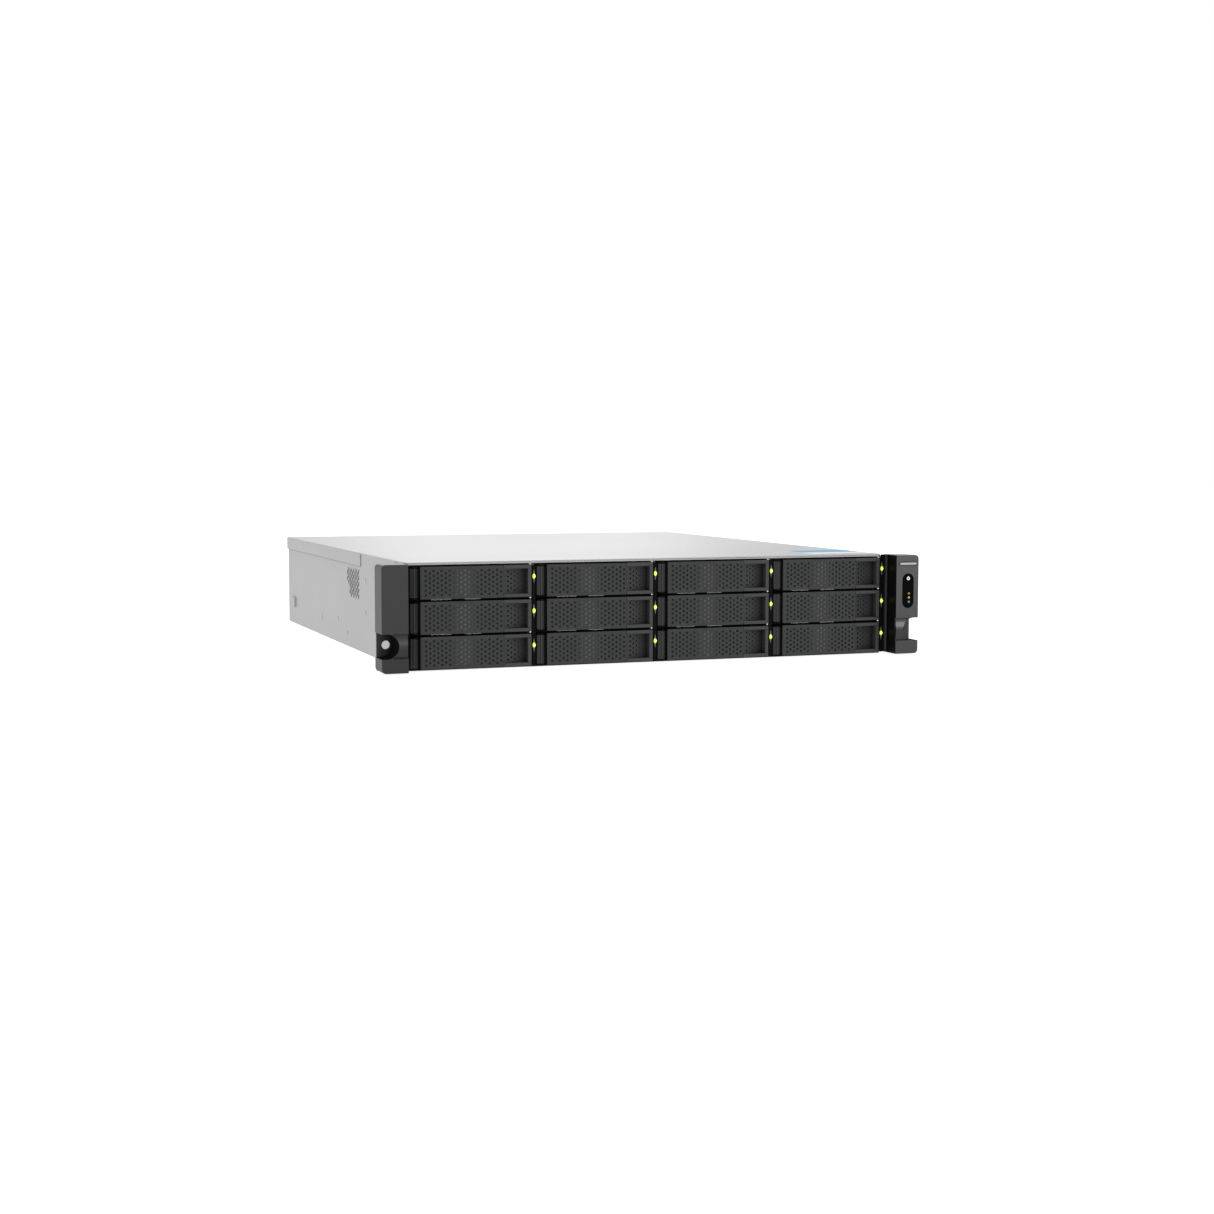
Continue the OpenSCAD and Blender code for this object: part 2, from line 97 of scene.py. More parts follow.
def coord(nt):
    return nt.nodes.new("ShaderNodeTexCoord").outputs["Object"]


def noise(nt, vec, scale, detail=3.0, rough=0.5):
    n = nt.nodes.new("ShaderNodeTexNoise")
    n.inputs["Scale"].default_value = scale
    n.inputs["Detail"].default_value = detail
    n.inputs["Roughness"].default_value = rough
    nt.links.new(vec, n.inputs["Vector"])
    return n.outputs["Fac"]


def ramp(nt, fac, stops):
    r = nt.nodes.new("ShaderNodeValToRGB")
    els = r.color_ramp.elements
    els[0].position, els[1].position = stops[0][0], stops[-1][0]
    for p, c in stops[1:-1]:
        els.new(p).color = (*c, 1)
    els[0].color = (*stops[0][1], 1)
    els[len(els) - 1].color = (*stops[-1][1], 1)
    nt.links.new(fac, r.inputs["Fac"])
    return r.outputs["Color"]


def math_node(nt, op, a, b=None, clamp=False):
    n = nt.nodes.new("ShaderNodeMath")
    n.operation = op
    n.use_clamp = clamp
    for i, v in enumerate((a, b)):
        if v is None:
            continue
        if isinstance(v, (int, float)):
            n.inputs[i].default_value = v
        else:
            nt.links.new(v, n.inputs[i])
    return n.outputs[0]


def bump(nt, bsdf, height, strength, distance):
    b = nt.nodes.new("ShaderNodeBump")
    b.inputs["Strength"].default_value = strength
    b.inputs["Distance"].default_value = distance
    nt.links.new(height, b.inputs["Height"])
    nt.links.new(b.outputs["Normal"], bsdf.inputs["Normal"])
    return b


def mixc(nt, fac, a, b):
    n = nt.nodes.new("ShaderNodeMix")
    n.data_type = "RGBA"
    if isinstance(fac, (int, float)):
        n.inputs[0].default_value = fac
    else:
        nt.links.new(fac, n.inputs[0])
    for sock, v in ((n.inputs[6], a), (n.inputs[7], b)):
        if isinstance(v, tuple):
            sock.default_value = (*v, 1)
        else:
            nt.links.new(v, sock)
    return n.outputs[2]


def plastic(name, col, rough=0.45, grain=0.12, spec=0.5, vary=0.10, grain_scale=2600):
    """Moulded plastic: fine etched grain, slight tone drift, rubbed roughness."""
    mat, nt, b = nodes_of(name)
    v = coord(nt)
    big = noise(nt, v, 14, 2)
    c = ramp(nt, big, [(0.3, tuple(k * (1 - vary) for k in col)), (0.7, tuple(min(1, k * (1 + vary)) for k in col))])
    nt.links.new(c, b.inputs["Base Color"])
    mid = noise(nt, v, 90, 4)
    rough_out = math_node(nt, "ADD", math_node(nt, "MULTIPLY", mid, 0.14), rough - 0.07)
    nt.links.new(rough_out, b.inputs["Roughness"])
    g = noise(nt, v, grain_scale, 2, 0.6)
    bump(nt, b, g, grain, 0.00012)
    b.inputs["Specular IOR Level"].default_value = spec
    return mat


def coated_steel(name, col, rough=0.42, metal=0.0, fine=0.05, vary=0.025, spec=0.5):
    """Zinc-tone sheet: rolled grain along Y, faint mottling, soft sheen."""
    mat, nt, b = nodes_of(name)
    v = coord(nt)
    big = noise(nt, v, 5, 3)
    c = ramp(nt, big, [(0.25, tuple(k * (1 - vary) for k in col)), (0.75, tuple(min(1, k * (1 + vary)) for k in col))])
    nt.links.new(c, b.inputs["Base Color"])
    mp = nt.nodes.new("ShaderNodeMapping")
    mp.inputs["Scale"].default_value = (1, 0.06, 1)
    nt.links.new(v, mp.inputs["Vector"])
    roll = noise(nt, mp.outputs["Vector"], 900, 2)
    peel = noise(nt, v, 1500, 2)
    h = math_node(nt, "ADD", math_node(nt, "MULTIPLY", roll, 0.5), peel)
    bump(nt, b, h, fine, 0.0001)
    b.inputs["Metallic"].default_value = metal
    b.inputs["Specular IOR Level"].default_value = spec
    # roughness: base plus drift
    rn = math_node(nt, "ADD", math_node(nt, "MULTIPLY", noise(nt, v, 30, 4), 0.12), rough - 0.06)
    nt.links.new(rn, b.inputs["Roughness"])
    return mat


def bare_metal(name, col, rough=0.3, axis=1, strength=0.08):
    """Brushed or rolled metal: stretched scratches along one axis."""
    mat, nt, b = nodes_of(name)
    v = coord(nt)
    sc = [1.0, 1.0, 1.0]
    sc[axis] = 0.03
    mp = nt.nodes.new("ShaderNodeMapping")
    mp.inputs["Scale"].default_value = sc
    nt.links.new(v, mp.inputs["Vector"])
    n1 = noise(nt, mp.outputs["Vector"], 1600, 3)
    n2 = noise(nt, v, 25, 3)
    c = ramp(nt, n2, [(0.3, tuple(k * 0.9 for k in col)), (0.7, tuple(min(1, k * 1.06) for k in col))])
    nt.links.new(c, b.inputs["Base Color"])
    b.inputs["Metallic"].default_value = 1.0
    rn = math_node(nt, "ADD", math_node(nt, "MULTIPLY", n1, 0.16), rough - 0.08)
    nt.links.new(rn, b.inputs["Roughness"])
    bump(nt, b, n1, strength, 0.0001)
    return mat


def glow(name, col, strength, base=None):
    mat, nt, b = nodes_of(name)
    v = coord(nt)
    n = noise(nt, v, 700, 1)
    c = ramp(nt, n, [(0.2, tuple(k * 0.92 for k in col)), (0.8, col)])
    nt.links.new(c, b.inputs["Emission Color"])
    b.inputs["Emission Strength"].default_value = strength
    b.inputs["Base Color"].default_value = (*(base or col), 1)
    b.inputs["Roughness"].default_value = 0.25
    return mat


def board(name, col):
    """Solder mask with a faint pattern of copper tracks under it."""
    mat, nt, b = nodes_of(name)
    v = coord(nt)
    w = nt.nodes.new("ShaderNodeTexVoronoi")
    w.inputs["Scale"].default_value = 160
    w.distance = "CHEBYCHEV"
    nt.links.new(v, w.inputs["Vector"])
    c = ramp(nt, w.outputs["Distance"], [(0.0, tuple(min(1, k * 1.5) for k in col)), (0.25, col), (1.0, tuple(k * 0.7 for k in col))])
    nt.links.new(c, b.inputs["Base Color"])
    b.inputs["Roughness"].default_value = 0.35
    bump(nt, b, w.outputs["Distance"], 0.15, 0.0001)
    return mat


def by_x(name, stops, rough, spec, grain=0.1, grain_scale=2600, axis="X"):
    """Plastic whose tone changes along one of the piece's own axes, given as (metres, colour)."""
    mat, nt, b = nodes_of(name)
    v = coord(nt)
    sep = nt.nodes.new("ShaderNodeSeparateXYZ")
    nt.links.new(v, sep.inputs[0])
    x0, x1 = stops[0][0], stops[-1][0]
    t = math_node(nt, "DIVIDE", math_node(nt, "SUBTRACT", sep.outputs[axis], x0), x1 - x0, clamp=True)
    c = ramp(nt, t, [((x - x0) / (x1 - x0), col) for x, col in stops])
    nt.links.new(c, b.inputs["Base Color"])
    b.inputs["Roughness"].default_value = rough
    b.inputs["Specular IOR Level"].default_value = spec
    bump(nt, b, noise(nt, v, grain_scale, 2, 0.6), grain, 0.0001)
    return mat


M = {}
M["steel"] = coated_steel("chassis_steel", (0.368, 0.373, 0.370), rough=0.5, spec=0.35)
M["lid"] = coated_steel("lid_steel", (0.70, 0.705, 0.715), rough=0.42, spec=0.5)
M["inner"] = bare_metal("inner_zinc", (0.62, 0.63, 0.63), 0.34)
M["shelf"] = coated_steel("bright_edge", (0.62, 0.62, 0.615), rough=0.4, fine=0.02, spec=0.5)
M["hook"] = bare_metal("hook_steel", (0.72, 0.72, 0.71), 0.3, axis=0)
# near-black, low-gloss copy of the ear plastic for the ears' inner sides: painted shade in the gap beside the trays
M["ear_in"] = plastic("ear_inner_painted_shade", (0.0035, 0.0035, 0.0037), rough=0.42, grain=0.06, spec=0.05)
# lighter, glossier copy of the ear plastic for the ears' top faces: painted highlight
M["ear_top"] = plastic("ear_top_painted_highlight", (0.10, 0.10, 0.10), rough=0.28, grain=0.06, spec=0.7)
M["flange"] = plastic("flange_black", (0.010, 0.010, 0.011), rough=0.55, grain=0.25, grain_scale=1800, spec=0.2)
M["lever"] = plastic("lever_plastic", (0.0255, 0.0275, 0.0265), rough=0.44, grain=0.08, spec=0.30, vary=0.05)
M["bar"] = plastic("lever_bar_plastic", (0.036, 0.038, 0.037), rough=0.40, grain=0.06, spec=0.32, vary=0.05)
K = MM
# hole backing tones: painted shade (DK, LV) towards both ends of the skin and a painted light band (LT) in the middle,
# seen through the holes
DK, LV, LT = (0.0260, 0.0275, 0.0265), (0.031, 0.033, 0.032), (0.142, 0.138, 0.138)
M["baffle"] = by_x("vent_baffle", [(10 * K, DK), (30 * K, DK), (35 * K, LV), (39.5 * K, (0.070, 0.068, 0.068)), (43.5 * K, LT), (51 * K, LT),
                                   (55 * K, (0.070, 0.068, 0.068)), (59 * K, LV), (63 * K, DK), (82 * K, DK)], 0.55, 0.2)
# scoop tone along u: lightest around u 85-90, then painted shade deepening towards the right end beside the right bar
M["recess"] = by_x("scoop_plastic_painted_shade", [(80 * K, (0.033, 0.0345, 0.034)), (85 * K, (0.045, 0.047, 0.046)), (90 * K, (0.045, 0.046, 0.0455)),
                                     (95 * K, (0.040, 0.0405, 0.040)), (98 * K, (0.033, 0.033, 0.033)), (100 * K, (0.021, 0.021, 0.021)), (102 * K, (0.014, 0.014, 0.014))], 0.5, 0.12)
# barrel tone across u: painted highlight on the left flank, a painted dark groove line, and painted shade going black
# on the right side turned into the gap
M["barrel"] = by_x("barrel_plastic_painted_light", [(1.6 * K, (0.004, 0.004, 0.004)), (2.6 * K, (0.056, 0.058, 0.057)), (4.2 * K, (0.021, 0.022, 0.0215)), (5.5 * K, (0.038, 0.0395, 0.039)),
                                      (7.0 * K, (0.008, 0.008, 0.008)), (9.4 * K, (0.002, 0.002, 0.002))], 0.36, 0.22, grain=0.04)


def g3(k, blue=1.02):
    return (k, k, k * blue)


# ear front tone by height: a painted highlight band across the scoop at about z 24-29, painted shade just above the
# lower block and under the upper block, and the right ear painted lighter towards the top
M["ear"] = by_x("ear_plastic", [(1 * K, g3(0.015)), (12.5 * K, g3(0.0175)), (12.8 * K, g3(0.012)), (19.5 * K, g3(0.015)), (22.5 * K, g3(0.030)), (25.2 * K, g3(0.064)),
                                (27.2 * K, g3(0.040)), (29.0 * K, g3(0.025)), (32.3 * K, g3(0.016)), (32.6 * K, g3(0.025)), (88 * K, g3(0.028))], 0.46, 0.34, axis="Z")
M["ear_r"] = by_x("ear_plastic_right_painted_light", [(1 * K, g3(0.034)), (12.5 * K, g3(0.040)), (12.8 * K, g3(0.018)), (21.8 * K, g3(0.022)), (24.0 * K, g3(0.060)), (25.8 * K, g3(0.190)),
                                        (28.2 * K, g3(0.175)), (30.2 * K, g3(0.050)), (32.3 * K, g3(0.032)), (32.6 * K, g3(0.050)), (60 * K, g3(0.062)), (88 * K, g3(0.072))], 0.46, 0.38, axis="Z")
# near-black copy of the ear plastic for the pocket walls and the inner walls beside the trays: painted shade
M["pocket"] = plastic("ear_pocket_wall_painted_shade", (0.007, 0.007, 0.0072), rough=0.6, grain=0.05, spec=0.0)
M["web"] = plastic("ear_pocket_floor", (0.060, 0.060, 0.061), rough=0.5, grain=0.08, spec=0.2)
M["rib"] = plastic("ear_inner_rib", (0.024, 0.024, 0.0245), rough=0.5, grain=0.06, spec=0.10)
M["badge"] = plastic("badge_plate", (0.052, 0.052, 0.054), rough=0.4, grain=0.05, spec=0.3)
M["badge_bar"] = plastic("badge_bar", (0.42, 0.42, 0.43), rough=0.35, grain=0.04, spec=0.4)
# darker copies of the lid steel for the front panel's bent edge and lip: painted shade on the front faces
M["hem"] = coated_steel("hem_edge_painted_shade", (0.47, 0.475, 0.473), rough=0.5, spec=0.3)
M["lip"] = coated_steel("hem_lip_painted_shade", (0.58, 0.585, 0.58), rough=0.45, spec=0.35)
M["slot"] = coated_steel("wall_slot_painted_shade", (0.24, 0.243, 0.242), rough=0.6, spec=0.2)
M["black"] = plastic("black_plastic", (0.0022, 0.0022, 0.0024), rough=0.5, grain=0.06, spec=0.06)
M["gloss"] = plastic("lens_gloss", (0.0008, 0.0008, 0.0010), rough=0.10, grain=0.0, vary=0.02, spec=0.035)
M["button"] = glow("button_white", (0.86, 0.86, 0.88), 0.62, (0.6, 0.6, 0.6))
M["led"] = glow("led_green", (0.62, 0.93, 0.035), 1.0, (0.4, 0.6, 0.05))
M["led_hot"] = glow("led_green_hot", (0.92, 1.0, 0.34), 1.0, (0.6, 0.8, 0.2))
M["pipe"] = plastic("light_pipe_clear", (0.115, 0.12, 0.11), rough=0.25, grain=0.0, spec=0.3)
M["led_y"] = glow("status_yellow", (0.34, 0.33, 0.03), 0.55, (0.1, 0.1, 0.0))
M["led_o"] = glow("status_orange", (0.72, 0.38, 0.06), 0.72, (0.2, 0.1, 0.0))
M["led_b"] = glow("status_blue", (0.05, 0.36, 0.42), 0.72, (0.0, 0.1, 0.1))
M["screw"] = bare_metal("screw_steel", (0.42, 0.42, 0.41), 0.35, axis=2)
M["hole"] = plastic("dark_hole", (0.01, 0.01, 0.01), rough=0.7, grain=0.05, spec=0.1)
M["pcb"] = board("solder_mask", (0.02, 0.12, 0.06))
M["drive"] = bare_metal("drive_casting", (0.50, 0.51, 0.52), 0.42, axis=1, strength=0.05)
M["drive_lid"] = bare_metal("drive_lid", (0.66, 0.67, 0.68), 0.3, axis=1, strength=0.04)
M["paper"] = plastic("label_paper", (0.74, 0.73, 0.74), rough=0.55, grain=0.08, vary=0.02)
M["blue"] = plastic("label_blue", (0.13, 0.42, 0.62), rough=0.6, grain=0.04, vary=0.03, spec=0.15)
M["heat"] = bare_metal("heatsink_alu", (0.75, 0.76, 0.77), 0.3, axis=1)
M["latch"] = plastic("latch_blue", (0.02, 0.09, 0.26), rough=0.4)
M["gold"] = bare_metal("contact_gold", (0.85, 0.62, 0.25), 0.25)
M["dark_metal"] = bare_metal("dark_metal", (0.20, 0.20, 0.205), 0.4)
M["chip"] = plastic("chip_black", (0.012, 0.012, 0.013), rough=0.4, grain=0.05)
M["port"] = bare_metal("port_nickel", (0.70, 0.69, 0.66), 0.26, axis=2)
M["can"] = bare_metal("can_aluminium", (0.72, 0.73, 0.74), 0.32, axis=2)
M["pin"] = bare_metal("pin_metal", (0.80, 0.78, 0.72), 0.22, axis=1)
M["fan"] = plastic("fan_plastic", (0.010, 0.010, 0.011), rough=0.38, grain=0.06, spec=0.35)
M["vent"] = plastic("vent_shade", (0.10, 0.10, 0.10), rough=0.7, grain=0.05, spec=0.05)
M["seam"] = coated_steel("seam_shade", (0.26, 0.263, 0.262), rough=0.6, spec=0.1)
M["usb"] = plastic("tongue_blue", (0.02, 0.08, 0.42), rough=0.4, grain=0.04)
M["ok"] = glow("ok_green", (0.10, 0.65, 0.12), 0.6, (0.05, 0.3, 0.06))


def split_board(name, test_axis, limit, above, col, upper, rear=None):
    """Board whose parts beyond a plane are moulded connectors instead of solder mask."""
    mat = board(name, col)
    nt = mat.node_tree
    b = nt.nodes["Principled BSDF"]
    src = b.inputs["Base Color"].links[0].from_socket
    sep = nt.nodes.new("ShaderNodeSeparateXYZ")
    nt.links.new(coord(nt), sep.inputs[0])
    fac = math_node(nt, "GREATER_THAN" if above else "LESS_THAN", sep.outputs[test_axis], limit)
    out = mixc(nt, fac, src, upper)
    if rear is not None:
        r2 = math_node(nt, "MULTIPLY", fac, math_node(nt, "GREATER_THAN", sep.outputs["Y"], rear))
        out = mixc(nt, r2, out, (0.62, 0.61, 0.59))
        nt.links.new(r2, b.inputs["Metallic"])
    nt.links.new(out, b.inputs["Base Color"])
    return mat


M["main_board"] = split_board("main_board", "Z", 8.64 * MM, True, (0.02, 0.12, 0.06), (0.014, 0.014, 0.015), (470 + YS) * MM)
M["back_board"] = split_board("back_board", "Y", (163.9 + YS) * MM, False, (0.02, 0.12, 0.06), (0.014, 0.014, 0.015))


# lid: base colour lighter than the walls' steel as a painted highlight on the top, and a painted sheen that fades
# slightly at the far left and more towards the near right
def lid_mat():
    mat = coated_steel("lid_sheet", (0.735, 0.737, 0.748), rough=0.42, spec=0.5)
    nt = mat.node_tree
    b = nt.nodes["Principled BSDF"]
    out = b.inputs["Base Color"].links[0].from_socket
    sep = nt.nodes.new("ShaderNodeSeparateXYZ")
    nt.links.new(coord(nt), sep.inputs[0])
    left = [(0.0, 0.68), (0.07, 0.765), (0.14, 0.87), (0.21, 0.973), (0.27, 1.0)]
    right = [(0.55, 1.0), (0.60, 0.98), (0.65, 0.952), (0.70, 0.912), (0.75, 0.857), (0.80, 0.776), (0.85, 0.707), (0.90, 0.653), (0.95, 0.619), (1.0, 0.593)]
    for slope, stops in ((-0.22, left), (-0.45, right)):
        d = math_node(nt, "ADD", sep.outputs["X"], math_node(nt, "MULTIPLY", sep.outputs["Y"], slope))
        t = math_node(nt, "DIVIDE", math_node(nt, "ADD", d, 0.27 - 0.2469 * slope), 0.54, clamp=True)
        k = ramp(nt, t, [(p, (v, v, v)) for p, v in stops])
        mul = nt.nodes.new("ShaderNodeMix")
        mul.data_type = "RGBA"
        mul.blend_type = "MULTIPLY"
        mul.inputs[0].default_value = 1.0
        nt.links.new(out, mul.inputs[6])
        nt.links.new(k, mul.inputs[7])
        out = mul.outputs[2]
    nt.links.new(out, b.inputs["Base Color"])
    return mat


M["lid"] = lid_mat()


# chassis pan: zinc sheet, with the rack flanges coated black in front of the walls, that black painted darker towards
# the wall as painted shade inside the ear pockets; the inner wall faces in the front 9.5 mm are painted near black as
# painted shade beside the trays
def chassis_mat():
    mat = coated_steel("chassis_pan", (0.368, 0.373, 0.370), rough=0.5, spec=0.35)
    nt = mat.node_tree
    b = nt.nodes["Principled BSDF"]
    src = b.inputs["Base Color"].links[0].from_socket
    sep = nt.nodes.new("ShaderNodeSeparateXYZ")
    nt.links.new(coord(nt), sep.inputs[0])
    ax = math_node(nt, "ABSOLUTE", sep.outputs["X"])
    out = math_node(nt, "GREATER_THAN", ax, (HALF + 0.02) * MM)
    near = math_node(nt, "LESS_THAN", sep.outputs["Y"], (1.98 + YS) * MM)
    inwall = math_node(nt, "LESS_THAN", sep.outputs["Y"], (9.5 + YS) * MM)
    ish = math_node(nt, "LESS_THAN", ax, (HALF - 0.5) * MM)
    a = math_node(nt, "MULTIPLY", out, near)
    bb = math_node(nt, "MULTIPLY", ish, inwall)
    fac = math_node(nt, "MAXIMUM", a, bb)
    # painted shade: the flange black darkens from x = 238 mm towards the wall
    edge = ramp(nt, math_node(nt, "DIVIDE", math_node(nt, "SUBTRACT", ax, 0.228), 0.010, clamp=True), [(0.0, (0.012, 0.012, 0.0125)), (1.0, (0.050, 0.050, 0.051))])
    # flanges take the shaded black; inner wall faces near the front take painted shade at 0.006
    dark = mixc(nt, a, (0.006, 0.006, 0.0065), edge)
    nt.links.new(mixc(nt, fac, src, dark), b.inputs["Base Color"])
    nt.links.new(math_node(nt, "SUBTRACT", 0.35, math_node(nt, "MULTIPLY", fac, 0.27)), b.inputs["Specular IOR Level"])
    return mat


M["pan"] = chassis_mat()


# ---------------------------------------------------------------- mesh kit
class MB:
    def __init__(self):
        self.v, self.f, self.m = [], [], []
        self.cur = 0

    def mat(self, i):
        self.cur = i
        return self

    def add(self, vs, fs):
        n = len(self.v)
        self.v += [tuple(p) for p in vs]
        self.f += [tuple(i + n for i in q) for q in fs]
        self.m += [self.cur] * len(fs)
        return self

    def box(self, x0, x1, y0, y1, z0, z1):
        return self.add(
            [(x0, y0, z0), (x1, y0, z0), (x1, y1, z0), (x0, y1, z0),
             (x0, y0, z1), (x1, y0, z1), (x1, y1, z1), (x0, y1, z1)],
            [(3, 2, 1, 0), (4, 5, 6, 7), (0, 1, 5, 4), (1, 2, 6, 5), (2, 3, 7, 6), (3, 0, 4, 7)])

    def prism(self, poly, a0, a1, axis):
        def at(p, a):
            return {"x": (a, p[0], p[1]), "y": (p[0], a, p[1]), "z": (p[0], p[1], a)}[axis]
        n = len(poly)
        vs = [at(p, a0) for p in poly] + [at(p, a1) for p in poly]
        fs = [tuple(range(n - 1, -1, -1)), tuple(range(n, 2 * n))]
        fs += [(i, (i + 1) % n, n + (i + 1) % n, n + i) for i in range(n)]
        return self.add(vs, fs)

    def cyl(self, a, b, r, a0, a1, axis, n=24, r1=None):
        """Cylinder or cone on an axis; (a, b) are the other two coordinates."""
        r1 = r if r1 is None else r1
        def at(k, rad, t):
            p = (a + rad * math.cos(2 * math.pi * k / n), b + rad * math.sin(2 * math.pi * k / n))
            return {"x": (t, p[0], p[1]), "y": (p[0], t, p[1]), "z": (p[0], p[1], t)}[axis]
        vs = [at(k, r, a0) for k in range(n)] + [at(k, r1, a1) for k in range(n)]
        fs = [tuple(range(n - 1, -1, -1)), tuple(range(n, 2 * n))]
        fs += [(i, (i + 1) % n, n + (i + 1) % n, n + i) for i in range(n)]
        return self.add(vs, fs)

    def lathe(self, a, b, prof, axis, n=32):
        """Solid of revolution about an axis through (a, b). prof is [(t, r), ...]."""
        def at(k, rad, t):
            p = (a + rad * math.cos(2 * math.pi * k / n), b + rad * math.sin(2 * math.pi * k / n))
            return {"x": (t, p[0], p[1]), "y": (p[0], t, p[1]), "z": (p[0], p[1], t)}[axis]
        vs = [at(k, r, t) for t, r in prof for k in range(n)]
        fs = []
        for j in range(len(prof) - 1):
            for k in range(n):
                fs.append((j * n + k, j * n + (k + 1) % n, (j + 1) * n + (k + 1) % n, (j + 1) * n + k))
        fs.append(tuple(range(n - 1, -1, -1)))
        L = (len(prof) - 1) * n
        fs.append(tuple(L + k for k in range(n)))
        return self.add(vs, fs)

    def sweep(self, path, r, n=10):
        """Round tube along points, with closed ends."""
        pts = [Vector(p) for p in path]
        vs, fs = [], []
        up = Vector((0, 0, 1))
        prev = None
        for i, p in enumerate(pts):
            d = (pts[min(i + 1, len(pts) - 1)] - pts[max(i - 1, 0)]).normalized()
            s = d.cross(up if abs(d.z) < 0.95 else Vector((1, 0, 0))) if prev is None else prev - d * prev.dot(d)
            s.normalize()
            prev = s
            t = d.cross(s)
            for k in range(n):
                a = 2 * math.pi * k / n
                vs.append(tuple(p + s * (r * math.cos(a)) + t * (r * math.sin(a))))
        for i in range(len(pts) - 1):
            for k in range(n):
                fs.append((i * n + k, i * n + (k + 1) % n, (i + 1) * n + (k + 1) % n, (i + 1) * n + k))
        fs.append(tuple(range(n - 1, -1, -1)))
        L = (len(pts) - 1) * n
        fs.append(tuple(L + k for k in range(n)))
        return self.add(vs, fs)

    def mesh(self, name, mats):
        me = bpy.data.meshes.new(name)
        me.from_pydata(self.v, [], self.f)
        for mt in mats:
            me.materials.append(M[mt])
        me.polygons.foreach_set("material_index", self.m)
        return clean(me)


def clean(me, weld=False):
    bm = bmesh.new()
    bm.from_mesh(me)
    if weld:
        bmesh.ops.remove_doubles(bm, verts=bm.verts, dist=0.002)
    bmesh.ops.recalc_face_normals(bm, faces=bm.faces)
    bm.to_mesh(me)
    bm.free()
    return me


def finish_mesh(me, angle=35):
    me.transform(Matrix.Diagonal((MM, MM, MM, 1)))
    me.shade_smooth()
    me.set_sharp_from_angle(angle=math.radians(angle))
    return me


LINK = bpy.context.scene.collection.objects.link


def put(name, me, body, bevel=0.0, seg=2, shift=(0, 0, 0), replace=(), slot=None, bev_angle=35):
    """Makes an object of a millimetre mesh already finished to metres, on a body."""
    ob = bpy.data.objects.new(name, me)
    LINK(ob)
    ob.location = (shift[0] * MM, (shift[1] + YS) * MM, shift[2] * MM)
    if bevel:
        b = ob.modifiers.new("bevel", "BEVEL")
        b.width = bevel * MM
        b.segments = seg
        b.limit_method = "ANGLE"
        b.angle_limit = math.radians(bev_angle)
        b.harden_normals = True
        b.use_clamp_overlap = True
    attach(ob, body)
    if replace:
        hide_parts(*replace)
    return ob


def make(name, mb, mats, body, **kw):
    return put(name, finish_mesh(mb.mesh(name, mats)), body, **kw)


def circle(a, b, r, n):
    return [(a + r * math.cos(2 * math.pi * k / n), b + r * math.sin(2 * math.pi * k / n)) for k in range(n)]


def plate(name, outer, holes, thick):
    """Flat plate with holes in the XY plane, from z = 0 to thick, welded into one closed mesh (mm)."""
    cu = bpy.data.curves.new(name, "CURVE")
    cu.dimensions = "2D"
    cu.fill_mode = "BOTH"
    for poly in [outer] + holes:
        sp = cu.splines.new("POLY")
        sp.points.add(len(poly) - 1)
        for p, (a, b) in zip(sp.points, poly):
            p.co = (a, b, 0, 1)
        sp.use_cyclic_u = True
    cu.extrude = thick / 2
    ob = bpy.data.objects.new(name, cu)
    LINK(ob)
    dg = bpy.context.evaluated_depsgraph_get()
    me = bpy.data.meshes.new_from_object(ob.evaluated_get(dg))
    bpy.data.objects.remove(ob)
    bpy.data.curves.remove(cu)
    me.transform(Matrix.Translation((0, 0, thick / 2)))
    return clean(me, weld=True)


def map_verts(me, fn):
    for v in me.vertices:
        v.co = fn(*v.co)
    return clean(me)


def boolean(ob, cutter_mb, op="DIFFERENCE"):
    """Cuts an object (metres, at its place) with a solid given in millimetres, and applies it."""
    me = cutter_mb.mesh("cutter", [])
    finish_mesh(me)
    c = bpy.data.objects.new("cutter", me)
    LINK(c)
    c.location = ob.location
    md = ob.modifiers.new("cut", "BOOLEAN")
    md.operation = op
    md.solver = "EXACT"
    md.object = c
    bpy.context.view_layer.update()
    dg = bpy.context.evaluated_depsgraph_get()
    new = bpy.data.meshes.new_from_object(ob.evaluated_get(dg))
    ob.modifiers.clear()
    ob.data = new
    bpy.data.objects.remove(c)
    return ob


def set_mat(node, mat, *more):
    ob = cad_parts[node]
    mats = ob.data.materials
    if len(mats):
        for i in range(len(mats)):
            mats[i] = M[mat]
    else:
        mats.append(M[mat])
    for s in ob.material_slots:
        s.material = M[mat]
    return ob


# ---------------------------------------------------------------- levers
# Lever coordinates: u to the right from the column's left edge, y, and z above the tray front's foot.
LP = -5.0
PU, SEAM, LE = 10.5, 80.8, 104.7
HX, HY, BR = 5.5, -1.6, 3.9


def scoop_y(u):
    return -4.4 + 6.6 * math.sin(math.radians(90 * (u - SEAM - 0.8) / 20.1))


def rrect(x0, x1, z0, z1, r, n=4):
    pts = []
    for cx, cz, a0 in ((x1 - r, z1 - r, 0), (x0 + r, z1 - r, 90), (x0 + r, z0 + r, 180), (x1 - r, z0 + r, 270)):
        for k in range(n + 1):
            a = math.radians(a0 + 90 * k / n)
            pts.append((cx + r * math.cos(a), cz + r * math.sin(a)))
    return pts


